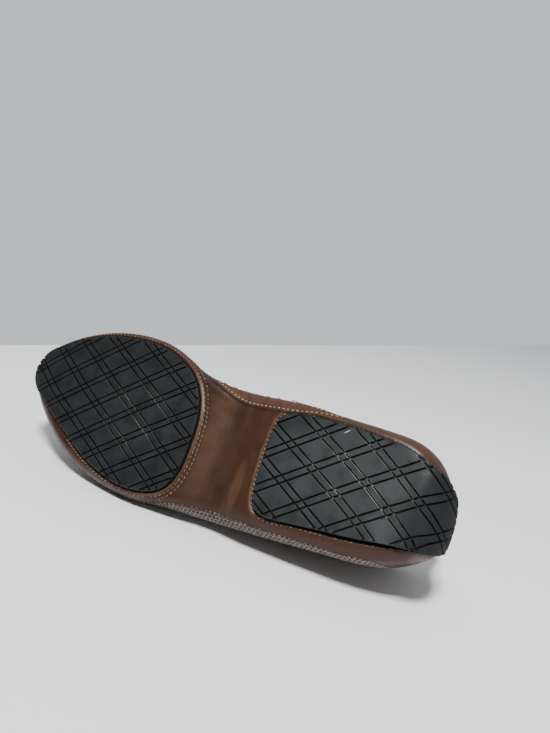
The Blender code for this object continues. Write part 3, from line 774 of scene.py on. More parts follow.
def wrap_leather():
    """Smooth brown leather of the bottom, lighter where rolled edges are worn, with painted sheen on those
    edges and at the waist, a painted highlight at the heel's corner and painted shade along the seams.
    """
    wrap = Surface("wrap_leather", 0.42)
    colour = wrap.leather_colour(*WRAP_TONES)
    colour = wrap.mix(wrap.spots(WAIST_SHEEN), colour, SHEEN)
    patchy = wrap.ramp(wrap.noise(0.35, 3.0), 0.3, 0.65, 0.35, 1.0)
    # Rolled edges: lighter from wear, with painted sheen where the beads catch light
    colour = wrap.mix(wrap.times(wrap.number("rolled_wear_and_sheen"), patchy), colour, ROLLED_WEAR_AND_SHEEN)
    # Painted shade in the crevices round the pads, in the lateral gap and under the lap's edge
    colour = wrap.mix(wrap.number("seam_shade"), colour, SEAM_SHADE)
    # Painted highlight on the lateral heel corner
    colour = wrap.mix(wrap.spots(HEEL_CORNER_HIGHLIGHT), colour, CORNER_HIGHLIGHT)
    colour = wrap.mix(wrap.spots(HEEL_CRACKS, HARD_RIM), colour, CRACK)
    rough = wrap.ramp(wrap.noise(0.12), 0.3, 0.7, 0.34, 0.52)
    wrap.dress({"Base Color": colour, "Roughness": rough, "Specular IOR Level": 0.25})
    wrap.dress({"Coat Weight": 0.04, "Coat Roughness": 0.3})
    wrap.leather_grain(0.55)
    return wrap.material


def punched_mask(upper):
    """Staggered round holes over the upper's own girth and height in millimetres."""
    row = upper.math("DIVIDE", upper.number("up"), HOLE_ROW)
    stagger = upper.times(upper.math("MODULO", upper.math("FLOOR", row), 2.0), 0.5)
    column = upper.math("ADD", upper.math("DIVIDE", upper.number("girth"), HOLE_PITCH), stagger)
    squares = []
    for place, pitch in ((column, HOLE_PITCH), (row, HOLE_ROW)):
        off = upper.times(upper.math("SUBTRACT", upper.math("FRACT", place), 0.5), pitch)
        squares.append(upper.times(off, off))
    away = upper.math("SQRT", upper.math("ADD", *squares))
    hole = upper.ramp(away, HOLE_RADIUS + 0.22, HOLE_RADIUS - 0.12)
    return upper.times(hole, upper.number("punched"))


def punched_leather():
    """Taupe upper with punched holes in its lower band and darker brown above it."""
    upper = Surface("punched_leather", 0.5)
    hole = punched_mask(upper)
    web = upper.mix(upper.ramp(upper.noise(0.4), 0.3, 0.7), *WEB_TONES)
    colour = upper.mix(upper.number("punched"), upper.leather_colour(*UPPER_TONES), web)
    # Painted shade inside the punched holes
    colour = upper.mix(hole, colour, PUNCHED_HOLE_SHADE)
    colour = upper.mix(upper.spots(HEEL_CRACKS, HARD_RIM), colour, CRACK)
    # Painted shade in the seam at the band's top and along the collar binding
    colour = upper.mix(upper.number("seam_shade"), colour, BROWN_SEAM_SHADE)
    upper.dress({"Base Color": colour, "Specular IOR Level": 0.3})
    upper.dress({"Coat Weight": 0.04, "Coat Roughness": 0.35})
    upper.relief(upper.math("SUBTRACT", 1.0, hole), 0.0009, 1.0, upper.leather_grain(0.5))
    return upper.material


def lining_leather():
    """Smooth tan lining."""
    lining = Surface("lining_leather", 0.62)
    lining.dress({"Base Color": lining.leather_colour(*LINING_TONES)})
    lining.leather_grain(0.35)
    return lining.material


def footbed_leather():
    """Footbed cover, rubbed darker under heel and ball."""
    cover = Surface("footbed_leather", 0.6)
    colour = cover.leather_colour(*FOOTBED_TONES)
    cover.dress({"Base Color": cover.mix(cover.spots(FOOTBED_WORN), colour, FOOTBED_DARK)})
    cover.leather_grain(0.4)
    return cover.material


def thread_material():
    """Waxed beige thread with a fine twist."""
    thread = Surface("stitch_thread", 0.55)
    # Tone from dark brown to beige: partly thread colour, partly painted light and shade
    thread.dress({"Base Color": thread.mix(thread.number("tone"), *THREAD_TONES)})
    twist = thread.add("TexWave", "Fac", {"Vector": thread.stretched((1, 1, 1), 0.6), "Scale": 1.6})
    thread.relief(twist, 0.00008, 0.6)
    return thread.material


def pinhole_material():
    """Painted shade of the needle holes."""
    hole = Surface("needle_holes", 0.8)
    hole.dress({"Base Color": hole.mix(hole.noise(0.6), SEAM_SHADE, BROWN_SEAM_SHADE)})
    return hole.material


# Leather bottom


def bottom_relief(plan):
    """Height over the plain skin, share of worn rolled edge with painted sheen, and share of painted seam
    shade at plan points.
    """
    x, y = plan.T
    fore = beyond(plan, FOREFOOT_LINE, FOREFOOT_OUT)
    heel = beyond(plan, HEEL_LINE, HEEL_OUT)
    lap = beyond(plan, SEAM_LINE, SEAM_OUT)
    rear = smooth_step(x, *BALL_REAR)
    front = smooth_step(x, *HEEL_FRONT)
    medial = smooth_step(y, *HEEL_MEDIAL) * smooth_step(x, *HEEL_MEDIAL_REAR)
    lateral = smooth_step(y, *HEEL_LATERAL) * smooth_step(x, *HEEL_LATERAL_REAR)
    lateral *= smooth_step(x, *HEEL_LATERAL_END)
    on_seam = smooth_step(x, *LAP_FRONT) * smooth_step(x, *LAP_REAR) * smooth_step(y, *LAP_MEDIAL)
    fore_crevice = bump(fore, *FORE_CREVICE)
    heel_crevice = bump(heel, *HEEL_CREVICE)
    fore_roll = bump(fore, *FORE_ROLL) * (0.2 + 0.8 * rear)
    heel_roll = bump(heel, *HEEL_ROLL) * front
    side_roll = smooth_step(heel, *SIDE_ROLL) * medial
    height = -POCKET_DEPTH * (smooth_step(fore, *POCKET_EDGE) + smooth_step(heel, *POCKET_EDGE))
    height -= 0.5 * fore_crevice + 0.4 * heel_crevice
    height -= LATERAL_GAP_DEPTH * lateral * bump(heel, *LATERAL_GAP)
    height += 0.8 * fore_roll + 0.7 * heel_roll + 0.45 * side_roll
    height -= 0.25 * rear * (bump(fore, ROW_ONE, ROW_WIDTH) + bump(fore, ROW_TWO, ROW_WIDTH))
    height -= 0.35 * front * bump(heel, 0.8, 0.5)
    height += LAP_HEIGHT * on_seam * smooth_step(lap, -LAP_EDGE - 0.5, -LAP_EDGE + 0.5)
    height -= 0.2 * on_seam * bump(lap, 0.0, 0.6)
    # Rolled edges: lighter from wear and partly painted sheen
    rolled_wear_and_sheen = np.clip(0.8 * fore_roll * rear + 0.9 * heel_roll + 0.25 * side_roll, 0.0, 1.0)
    rolled_wear_and_sheen = np.maximum(rolled_wear_and_sheen, 0.4 * on_seam * smooth_step(lap, -LAP_EDGE, -LAP_EDGE + 1.0))
    # Painted shade: crevices at the pads, the lateral gap and under the lap's edge
    seam_shade = fore_crevice + heel_crevice + lateral * bump(heel, 0.1, 1.3)
    seam_shade = np.clip(seam_shade + 0.7 * on_seam * bump(lap, -LAP_EDGE - 0.4, 0.4), 0.0, 1.0)
    return height, rolled_wear_and_sheen, seam_shade


def turned_rows(girth, count, side=0.0, floor=0.0):
    """Loops from the flat bottom up to the top of the rand."""
    return [girth.ring(girth.rand_top * k / count, side, floor) for k in range(count + 1)]


def across_floor(start, end, steps, floor=0.0):
    """Points between two points of the bottom, at a height over the leather's underside."""
    share = np.linspace(0.0, 1.0, steps + 1)[1:-1, None]
    points = start * (1 - share) + end * share
    points[:, 2] = floor_level(points[:, 0]) + floor
    return points


def bottom_section(outer, inner, i):
    """Closed cross section of the wrap at one station, from medial edge to lateral edge and back."""
    other = (len(outer[0]) - i) % len(outer[0])
    plate = across_floor(outer[0][i], outer[0][other], BOTTOM_CROSS)
    bed = across_floor(inner[0][other], inner[0][i], BED_STEPS, BOTTOM_PLATE)
    outside = [*(ring[i] for ring in reversed(outer)), *plate, *(ring[other] for ring in outer)]
    inside = [*(ring[other] for ring in reversed(inner)), *bed, *(ring[i] for ring in inner)]
    return np.array(outside + inside)


def leather_bottom():
    """Leather wrap with rolled edges, seams and the dips under the pads."""
    girth = Girth(waist_weighted(BOTTOM_STATIONS))
    outer = turned_rows(girth, BOTTOM_RAND)
    inner = turned_rows(girth, INNER_RAND, RAND_WALL, BOTTOM_PLATE)
    sections = [bottom_section(outer, inner, i) for i in range(BOTTOM_STATIONS + 1)]
    columns = len(sections[0])
    faces = grid_faces(len(sections), columns, closed_columns=True)
    points, faces, first, _ = weld(np.concatenate(sections), faces)
    faces = turned_out(points, faces)
    last_outside = 2 * (BOTTOM_RAND + 1) + BOTTOM_CROSS - 2
    column = first % columns
    shown = np.where(column <= last_outside, 1.0, 0.0)
    edge = np.abs(2 * column / last_outside - 1) * shown
    height, rolled_wear_and_sheen, seam_shade = bottom_relief(points[:, :2])
    height = height * shown * smooth_step(edge, 1.0, 0.97) - 0.45 * smooth_step(edge, 0.985, 1.0) * shown
    rolled_wear_and_sheen = np.maximum(rolled_wear_and_sheen, 0.55 * smooth_step(edge, 0.955, 0.985)) * shown
    points = points + height[:, None] * mesh_normals(points, faces)
    attributes = {"rolled_wear_and_sheen": rolled_wear_and_sheen, "seam_shade": seam_shade * shown}
    piece = make_piece("wrap", points, faces, "leather_bottom", [wrap_leather()], attributes)
    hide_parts("leather_bottom")


# Rubber treads

HALF_ANGLE = DIAMOND_ANGLE / 2
GROOVE_WAY = np.array((math.cos(HALF_ANGLE), math.sin(HALF_ANGLE)))
GROOVE_ASIDE = np.array(((-GROOVE_WAY[1], GROOVE_WAY[0]), (GROOVE_WAY[1], GROOVE_WAY[0])))
REAR_TURN = np.linspace(0.0, QUARTER, 200)
REAR_INSET = HEEL_TIP.tuck * (1 - np.sin(REAR_TURN))
REAR_RISE = (HEEL_TIP.widest - PAD_PROUD) * (1 - np.cos(REAR_TURN))
REAR_FLAT = HEEL_TIP.tuck - running(np.hypot(np.diff(REAR_INSET), np.diff(REAR_RISE)))


def groove_lines(low, high):
    """Places across one groove direction: profile lines of each groove and steps between them."""
    lines = []
    for pair in range(math.floor(low / GROOVE_PITCH) - 1, math.ceil(high / GROOVE_PITCH) + 2):
        for side in (-0.5, 0.5):
            centre = (pair + side * PAIR_SPACING) * GROOVE_PITCH
            lines += [centre + way * off for way in (-1, 1) for off in GROOVE_OFFSETS]
        clear = (pair + 0.5 * PAIR_SPACING) * GROOVE_PITCH + GROOVE_OFFSETS[0]
        gap = GROOVE_PITCH * (1 - PAIR_SPACING) - 2 * GROOVE_OFFSETS[0]
        lines += [clear + gap * k / PLATEAU_STEPS for k in range(1, PLATEAU_STEPS)]
    return np.array(sorted(line for line in lines if low - 2 <= line <= high + 2))


def groove_depth(place):
    """Depth at a place across one groove direction."""
    step = place / GROOVE_PITCH
    off = np.abs(np.abs(step - np.round(step)) - PAIR_SPACING / 2) * GROOVE_PITCH
    return np.interp(off, GROOVE_OFFSETS[::-1], GROOVE_DEPTHS[::-1])


def heel_back(y):
    """Place along the shoe of the widest line behind points of the heel."""
    rear = FINE.plan[FINE.plan[:, 0] < HEEL_REACH]
    rear = rear[np.argsort(rear[:, 1])]
    return np.interp(y, rear[:, 1], rear[:, 0])


def drift(plan):
    """How far the moulded lines are drawn forward at the heel's rear and back at the toe."""
    x, y = plan[:, :1], plan[:, 1:]
    rear = np.clip((REAR_DRIFT_FROM - x) / REAR_DRIFT_FROM, 0.0, None)
    toe = np.clip((x - TOE_DRIFT_FROM) / (LENGTH - TOE_DRIFT_FROM), 0.0, None)
    at_toe = TOE_DRIFT + smooth_step(y, *TOE_LATERAL) * TOE_DRIFT_LATERAL
    return rear**2 * REAR_DRIFT + toe**TOE_DRIFT_POWER * at_toe


def rear_moved(plan, before, after):
    """Points with the heel's rear moved between its curled and its flat places."""
    back = heel_back(plan[:, 1])
    ahead = plan[:, 0] - back
    moved = np.interp(ahead, before[::-1], after[::-1])
    return np.column_stack((back + np.where(ahead < HEEL_TIP.tuck, moved, ahead), plan[:, 1]))


def laid_flat(plan):
    """Places on a pad's flat sheet for plan points."""
    return rear_moved(plan, REAR_INSET, REAR_FLAT) - drift(plan)


def bent_up(sheet):
    """Plan points for places on a pad's flat sheet."""
    plan = sheet
    for _ in range(BEND_ROUNDS):
        plan = rear_moved(sheet + drift(plan), REAR_FLAT, REAR_INSET)
    return plan


def groove_grid(line, trim, out, crossing):
    """Skewed grid of faces on the groove lines, a little past the trimmed outline."""
    places = (line - crossing) @ GROOVE_ASIDE.T
    first, second = (groove_lines(place.min(), place.max()) for place in places.T)
    across = np.array(np.meshgrid(first, second, indexing="ij")).reshape(2, -1).T
    plan = np.column_stack((across[:, 1] - across[:, 0], across[:, 0] + across[:, 1]))
    plan = plan / (2 * GROOVE_WAY[::-1]) + crossing
    near = beyond(plan, trim, out) < TRIM_REACH
    bm = bmesh.new()
    verts = [bm.verts.new((*spot, 0.0)) for spot in plan]
    for face in grid_faces(len(first), len(second)):
        if near[list(face)].any():
            bm.faces.new([verts[i] for i in face])
    bmesh.ops.delete(bm, geom=[v for v in bm.verts if not v.link_faces], context="VERTS")
    return bm


def trim_to(bm, outline):
    """Cut a flat mesh to the hull of an outline."""
    hull = outline[convex_hull_2d(outline.tolist())][::2]
    centre = hull.mean(axis=0)
    for spot, following in zip(hull, np.roll(hull, -1, axis=0)):
        aside = np.array((following[1] - spot[1], spot[0] - following[0]))
        aside *= math.copysign(1.0, np.dot(spot - centre, aside))
        geometry = [*bm.verts, *bm.edges, *bm.faces]
        bmesh.ops.bisect_plane(bm, geom=geometry, dist=0.0005, plane_co=(*spot, 0.0),
                               plane_no=(*aside, 0.0), clear_outer=True)
    bmesh.ops.remove_doubles(bm, verts=bm.verts, dist=0.02)


def close_rim(bm):
    """Three rows round the edge, with their number as height, and a closed back."""
    rim = [edge for edge in bm.edges if len(edge.link_faces) == 1]
    for level in (1.0, 2.0, 3.0):
        grown = bmesh.ops.extrude_edge_only(bm, edges=rim)["geom"]
        rim = [item for item in grown if isinstance(item, bmesh.types.BMEdge)]
        for vert in {vert for edge in rim for vert in edge.verts}:
            vert.co.z = level
    bmesh.ops.contextual_create(bm, geom=rim)
    bmesh.ops.triangulate(bm, faces=[face for face in bm.faces if len(face.verts) > 4])
    bm.verts.index_update()


def tread_piece(name, node, line, crossing, material):
    """Rubber pad: grid on the groove lines, trimmed on its flat sheet and bent onto the skin."""
    line = laid_flat(line)
    out = beside(chords(line))
    trim = line - (PAD_BEVEL + GROOVE_RUNOUT) * out
    bm = groove_grid(line, trim, out, crossing)
    trim_to(bm, trim)
    close_rim(bm)
    flat = np.array([vert.co for vert in bm.verts])
    faces = [[vert.index for vert in face.verts] for face in bm.faces]
    bm.free()
    spots, level = flat[:, :2], np.rint(flat[:, 2])
    first, second = (groove_depth(place) for place in ((spots - crossing) @ GROOVE_ASIDE.T).T)
    # Only the walls of the first groove direction carry the chalk and painted highlight
    chalk_and_highlight = np.where(first < second, 0.0, first) / GROOVE_DEPTHS[-1]
    depth = np.maximum(first, second) * np.where(level > 0, RIM_DEPTH, 1.0)
    bevel = np.where(level > 1, PAD_BEVEL, 0.0)
    shift = np.where(level > 0, GROOVE_RUNOUT, 0.0) + bevel
    spots = bent_up(spots + shift[:, None] * out[nearest_on(spots, trim)])
    from_back = spots[:, 0] - heel_back(spots[:, 1])
    depth *= REAR_SHALLOW + (1 - REAR_SHALLOW) * smooth_step(from_back, *REAR_RIM)
    lift = np.where(level > 2, PAD_ROOT, PAD_PROUD - depth - bevel)
    base, normal = skin_frame(spots)
    points = base + lift[:, None] * normal
    if np.sum(mesh_normals(points, faces)[level < 1, 2]) > 0:
        faces = [face[::-1] for face in faces]
    # Share of painted shade: deeper grooves are darker, and the pad's wall and back sit at 0.6
    shade = np.where(level < 2, depth / GROOVE_DEPTHS[-1], 0.0)
    shade = np.where(level > 2, 0.6, shade)
    piece = make_piece(name, points, faces, node, [material], {"depth": shade, "chalk_and_highlight": chalk_and_highlight})
    piece.data.set_sharp_from_angle(angle=TREAD_SHARP)
    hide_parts(node)


# Upper


def vamp_spine(s):
    """Ridge of the vamp at shares from the throat to the toe box: points and slopes."""
    from_x, from_y = on_plan(*COLLAR_THROAT)
    to_x, to_y = on_plan(*TOE_BOX)
    run = to_x - from_x
    height = (2 * s**3 - 3 * s**2 + 1) * INSTEP_HEIGHT + (3 * s**2 - 2 * s**3) * TOE_BOX_HEIGHT
    height += run * ((s**3 - 2 * s**2 + s) * VAMP_SLOPE_THROAT + (s**3 - s**2) * VAMP_SLOPE_TOE)
    fall = 6 * (s**2 - s) * (INSTEP_HEIGHT - TOE_BOX_HEIGHT) / run
    fall += (3 * s**2 - 4 * s + 1) * VAMP_SLOPE_THROAT + (3 * s**2 - 2 * s) * VAMP_SLOPE_TOE
    return np.column_stack((from_x + run * s, from_y + (to_y - from_y) * s, height)), fall


def upper_ends(girth, shares):
    """Where each station of the upper ends, on the collar or on the spine, and the slope there."""
    count = len(girth.share)
    open_shares = shares[shares < THROAT_SHARE]
    medial = [(*on_plan(r.along, r.medial), r.height) for r in COLLAR]
    lateral = [(*on_plan(r.along, r.lateral), r.height) for r in COLLAR]
    back = (*on_plan(*COLLAR_BACK), BACK_HEIGHT)
    front = (*on_plan(*COLLAR_THROAT), INSTEP_HEIGHT)
    collar = loop_of(back, medial, front, lateral, np.append(open_shares / THROAT_SHARE, 1.0))[0]
    past_throat = (girth.share - THROAT_SHARE) / (TOE_BOX_SHARE - THROAT_SHARE)
    ends, slope = vamp_spine(np.clip(past_throat, 0.0, 1.0))
    for i in range(len(open_shares)):
        ends[i] = collar[i]
        ends[(count - i) % count] = collar[(len(collar) - i) % len(collar)]
        slope[[i, (count - i) % count]] = VAMP_SLOPE_THROAT
    return ends, slope


def upper_wall(girth, ends, slope):
    """Rows of the outside from the widest line to the ends."""
    low = girth.ring(np.full(len(girth.share), QUARTER), RAND_STEP)
    across = ends[:, :2] - low[:, :2]
    width = np.linalg.norm(across, axis=1)[:, None]
    rise = (ends[:, 2] - low[:, 2])[:, None]
    across = across / width
    upright = np.ones(len(low))
    over = smooth_step(girth.share / THROAT_SHARE, 0.5, 1.0)[:, None]
    collar_way = np.column_stack((COLLAR_LEAN * across, upright))
    vamp_way = np.column_stack((across, slope * across[:, 0]))
    way = unit((1 - over) * collar_way + over * vamp_way)
    reach = (1 - over) * COLLAR_SHARE * rise + over * VAMP_SHARE * width
    lean = SIDE_LEAN + over * (VAMP_LEAN - SIDE_LEAN)
    up = low + SIDE_SHARE * rise * np.column_stack((lean * across, upright))
    back = ends - reach * way
    rows = []
    for w in np.arange(1, UPPER_ROWS + 1) / UPPER_ROWS:
        v = 1 - w
        rows.append(v**3 * low + 3 * w * v**2 * up + 3 * w**2 * v * back + w**3 * ends)
    return rows


def upper_relief(grid, up, left, open_top):
    """Height of creases, collar binding and band seam on the upper's outside."""
    x, y, z = np.moveaxis(grid, 2, 0)
    height = np.zeros(up.shape)
    for crease in VAMP_CREASES:
        off = x - crease.x - crease.lean * y
        reach = smooth_step(y, crease.y0, crease.y0 + CREASE_FADE) * smooth_step(z, *CREASE_RISE)
        reach *= crease.depth * smooth_step(y, crease.y1, crease.y1 - CREASE_FADE)
        height -= reach * bump(off, 0.0, crease.width)
        height += 0.5 * reach * bump(off, 1.9 * crease.width, crease.width)
    height += 0.5 * open_top * smooth_step(left, BINDING + 0.5, BINDING - 0.8)
    height -= 0.35 * open_top * bump(left, BINDING + 0.2, 0.6)
    height -= 0.3 * bump(up, BAND_TOP, 0.7) * smooth_step(left, 2.0, 8.0)
    return height


def upper_marks(grid, up, left, open_top):
    """Shares of punched band and of seam shade on the upper's outside."""
    band = smooth_step(up, BAND_TOP - 0.6, BAND_TOP - 1.2) * smooth_step(up, 0.3, 0.9)
    band *= smooth_step(grid[0][:, 0], *BAND_REAR) * smooth_step(grid[0][:, 0], *BAND_FRONT)
    seam_shade = np.clip(bump(up, BAND_TOP, 0.55) + open_top * bump(left, BINDING + 0.2, 0.5), 0.0, 1.0)
    seam_shade[-1] = 0.0
    return band, seam_shade


def upper_inside(girth, grid, normal, turns):
    """Rows of the lining from the hem up to the collar."""
    inside = [girth.ring(turn, HEM_SIDE + UPPER_WALL, HEM_FLOOR + UPPER_WALL) for turn in turns]
    for k in range(1, UPPER_ROWS + 1):
        wall = UPPER_WALL + max(0.0, 1 - 3 * k / UPPER_ROWS) * HEM_SIDE
        inside.append(grid[SIDE_STEPS + k] - wall * normal[SIDE_STEPS + k])
    return inside


def upper():
    """Hollow upper with a punched band over the rand, plain leather above and a bound collar."""
    shares = end_weighted(UPPER_STATIONS)
    girth = Girth(shares)
    ends, slope = upper_ends(girth, shares)
    count = len(girth.share)
    ridge = girth.share >= THROAT_SHARE
    clear = girth.rand_top + GAP / girth.tuck
    side = [clear + (QUARTER - clear) * k / SIDE_STEPS for k in range(SIDE_STEPS + 1)]
    over_rand = [girth.ring(turn, RAND_STEP, BOTTOM_PLATE * RAND_STEP / RAND_WALL) for turn in side]
    grid = np.array(over_rand + upper_wall(girth, ends, slope))
    normal = np.cross(np.gradient(grid, axis=0), chords(grid, 1))
    normal[-1, ridge] = np.column_stack((-slope, 0 * slope, np.ones(count)))[ridge]
    normal = unit(normal)
    along = np.linalg.norm(np.diff(grid, axis=0), axis=2)
    up = np.concatenate((np.zeros((1, count)), np.cumsum(along, axis=0)))
    left = up[-1] - up
    open_top = np.tile(np.where(ridge, 0.0, 1.0), (len(grid), 1))
    lift = upper_relief(grid, up, left, open_top)
    lift[-1, ridge] = 0.0
    hem_turn = HEM_SHARE * girth.rand_top
    hem = [hem_turn + (clear - hem_turn) * k / HEM_STEPS for k in range(HEM_STEPS + 1)]
    hem_rows = [girth.ring(turn, HEM_SIDE, HEM_FLOOR) for turn in hem]
    inside = upper_inside(girth, grid, normal, hem + side[1:])
    rows = [*hem_rows, *(grid + lift[:, :, None] * normal), *inside[::-1]]
    last_outside = len(hem_rows) + len(grid) - 1
    closed = ridge & np.roll(ridge, -1)
    faces = grid_faces(len(rows), count, closed_rows=True, closed_columns=True)
    shown = [n for n in range(len(faces)) if n // count != last_outside or not closed[n % count]]
    points, corners, first, kept = weld(np.concatenate(rows), [faces[n] for n in shown])
    lining = [int(shown[n] // count >= last_outside) for n in kept]
    band, seam_shade = upper_marks(grid, up, left, open_top)
    attributes = {"girth": np.tile(girth.arc, len(rows))[first]}
    for label, values in (("punched", band), ("seam_shade", seam_shade), ("up", up)):
        attributes[label] = np.pad(values, ((len(hem_rows), len(inside)), (0, 0))).ravel()[first]
    piece = make_piece("upper_leather", points, turned_out(points, corners), "upper",
                       [punched_leather(), lining_leather()], attributes, lining)
    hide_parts("upper")


# Footbed


def footbed():
    """Footbed with a soft edge that meets the lining."""
    shares = end_weighted(FOOTBED_STATIONS)
    girth = Girth(shares)
    hem_turn = HEM_SHARE * girth.rand_top
    hem = girth.inset(hem_turn, HEM_SIDE + UPPER_WALL, HEM_FLOOR + UPPER_WALL) + GAP
    plate = girth.inset(0.0, RAND_WALL, BOTTOM_PLATE)
    edge = girth.plan - np.maximum(hem, plate)[:, None] * girth.outward
    cross = np.linspace(0.0, 1.0, FOOTBED_CROSS)
    sections = []
    for i in range(len(shares)):
        other = edge[(len(edge) - i) % len(edge)]
        row = edge[i] * (1 - cross[:, None]) + other * cross[:, None]
        near = np.minimum(cross, 1 - cross) * np.linalg.norm(edge[i] - other)
        top = HEM_FLOOR + 0.9 * INSOLE_THICK * np.sqrt(np.clip(near / EDGE_ROUND, 0.0, 1.0)) + 0.1
        dish = DISH_DEPTH * bump(row[:, 0], *DISH_ALONG) * bump(row[:, 1], *DISH_ACROSS)
        floor = floor_level(row[:, 0])
        sections.append(np.column_stack((row, floor + top - dish)))
        sections.append(np.column_stack((row, floor + HEM_FLOOR))[::-1])
    faces = grid_faces(len(shares), 2 * FOOTBED_CROSS, closed_columns=True)
    points, faces, _, _ = weld(np.concatenate(sections), faces)
    piece = make_piece("footbed", points, turned_out(points, faces), "insole", [footbed_leather()])
    piece.data.set_sharp_from_angle(angle=FOOTBED_SHARP)
    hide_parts("insole")


# Stitches

Row = namedtuple("Row", "points normals pitch length radius slant rise tone")
RAND = Girth(np.linspace(0.0, 1.0, RAND_STATIONS))


def evenly(points, normals, pitch):
    """Places, normals and directions every pitch along a line of points."""
    arc = arc_along(points)
    count = max(2, int(arc[-1] / pitch))
    at = (np.arange(count) + 0.5) * arc[-1] / count

    def values_at(values, where):
        return np.column_stack([np.interp(where, arc, column) for column in values.T])

    way = unit(values_at(points, at + 0.4) - values_at(points, at - 0.4))
    normal = values_at(normals, at)
    normal -= np.sum(normal * way, axis=1)[:, None] * way
    return values_at(points, at), unit(normal), way


def copies(points, faces):
    """Points and faces of many like bits, from each bit's points and the faces of one."""
    points = np.stack(points, axis=1)
    count, size = points.shape[:2]
    many = [tuple(i + n * size for i in face) for n in range(count) for face in faces]
    return points.reshape(-1, 3), many


def thread_mesh(place, normal, way, length, radius, slant, rise):
    """Sausages of thread, each along its stitch, arched out of the leather."""
    direction = way * np.cos(slant) + np.cross(normal, way) * np.sin(slant)
    flank = np.cross(normal, direction)
    points = []
    for s in np.linspace(-1.0, 1.0, THREAD_RINGS):
        girth = radius * math.sqrt(max(0.12, 1 - s * s * 0.88))
        centre = place + direction * s * length / 2 + normal * rise * (1 - 1.3 * s * s)
        for turn in 2 * math.pi * np.arange(THREAD_SIDES) / THREAD_SIDES:
            points.append(centre + girth * (math.cos(turn) * flank + math.sin(turn) * normal))
    faces = grid_faces(THREAD_RINGS, THREAD_SIDES, closed_columns=True)
    faces.append(tuple(reversed(range(THREAD_SIDES))))
    faces.append(tuple(range(len(points) - THREAD_SIDES, len(points))))
    return copies(points, faces)


def hole_mesh(place, normal, way):
    """Shallow dark discs just over the leather at the needle holes, as painted shade of the holes."""
    side = np.cross(normal, way)
    points = [place + 0.02 * normal]
    for turn in 2 * math.pi * np.arange(HOLE_SIDES) / HOLE_SIDES:
        rim = 1.25 * math.cos(turn) * way + math.sin(turn) * side
        points.append(place + NEEDLE_RADIUS * rim + 0.06 * normal)
    return copies(points, [(0, 1 + k, 1 + (k + 1) % HOLE_SIDES) for k in range(HOLE_SIDES)])


def on_leather(plan):
    """Points on the shaped leather over plan points, with normals."""
    base, normal = skin_frame(plan)
    height, _, _ = bottom_relief(plan)
    return base + height[:, None] * normal, normal


def offset_line(line, out, distance, keep):
    """Kept stretch of a pad's outline, unbroken across its start, set out over the leather."""
    where = np.flatnonzero(keep)
    gaps = np.flatnonzero(np.diff(where) > 1)
    if len(gaps):
        where = np.roll(where, -(gaps[-1] + 1))
    reach = np.broadcast_to(distance, len(line))[:, None]
    return on_leather((line + reach * out)[where])


def rand_row(low, high, medial, below_top):
    """Line near the top edge of the rand on one side between two places along the shoe."""
    half = RAND_STATIONS - 1
    index = np.arange(1, half) if medial else np.arange(2 * half - 1, half, -1)
    turn = RAND.rand_top - below_top / np.hypot(RAND.tuck, RAND.widest - PAD_PROUD)
    ring = RAND.ring(turn)
    normal = unit(np.cross(RAND.ring(turn + 0.04) - ring, chords(ring)))
    normal *= np.sign(np.sum(normal[:, :2] * RAND.outward, axis=1))[:, None]
    keep = index[(RAND.plan[index, 0] > low) & (RAND.plan[index, 0] < high)]
    return ring[keep], normal[keep]


def stitch_rows():
    """Every seam row of the bottom with its thread sizes."""
    fore_x, fore_y = FOREFOOT_LINE.T
    heel_x, heel_y = HEEL_LINE.T
    rear = smooth_step(fore_x, *ROWS_WIDEN)
    row_one = SIDE_ONE + (ROW_ONE - SIDE_ONE) * rear
    row_two = SIDE_TWO + (ROW_TWO - SIDE_TWO) * rear
    round_one = fore_x < np.where(fore_y < 10.0, *ROW_ONE_ENDS)
    round_two = fore_x < np.where(fore_y < 10.0, *ROW_TWO_ENDS)
    heel_front = (heel_x > 98.5) & (np.abs(heel_y) < 27.5)
    heel_outer = (heel_x < 97.0) & (heel_x > 12.0) & (heel_y < 0.0)
    heel_inner = (heel_x < 92.0) & (heel_x > 12.0) & (heel_y > 0.0)
    fore = (FOREFOOT_LINE, FOREFOOT_OUT)
    heel = (HEEL_LINE, HEEL_OUT)
    # Last column, tone: partly thread colour, partly painted light and shade, lighter where a row catches
    # light
    return [
        Row(*offset_line(*fore, row_one, round_one), 2.9, 2.0, 0.40, 0.12, 0.08, 0.40),
        Row(*offset_line(*fore, row_two, round_two), 2.9, 2.0, 0.40, 0.12, 0.08, 0.40),
        Row(*offset_line(*heel, 0.9, heel_front), 2.5, 1.8, 0.48, 0.55, 0.12, 0.80),
        Row(*offset_line(*heel, 2.0, heel_outer), 2.7, 1.8, 0.38, 0.10, 0.04, 0.16),
        Row(*offset_line(*heel, 1.0, heel_inner), 2.6, 1.8, 0.36, 0.10, 0.06, 0.18),
        Row(*on_leather(SEAM_LINE), 2.8, 2.0, 0.48, 0.10, 0.16, 0.95),
        Row(*on_leather(open_curve(HEEL_SEAM)), 2.6, 1.9, 0.44, 0.10, 0.12, 0.80),
        Row(*rand_row(104.0, 150.0, True, 0.5), 6.6, 3.2, 0.62, 0.10, 0.22, 0.95),
        Row(*rand_row(150.0, 272.0, True, 1.7), 2.9, 2.0, 0.38, 0.10, 0.06, 0.45),
        Row(*rand_row(34.0, 272.0, False, 1.5), 2.9, 2.0, 0.40, 0.10, 0.06, 0.20),
    ]


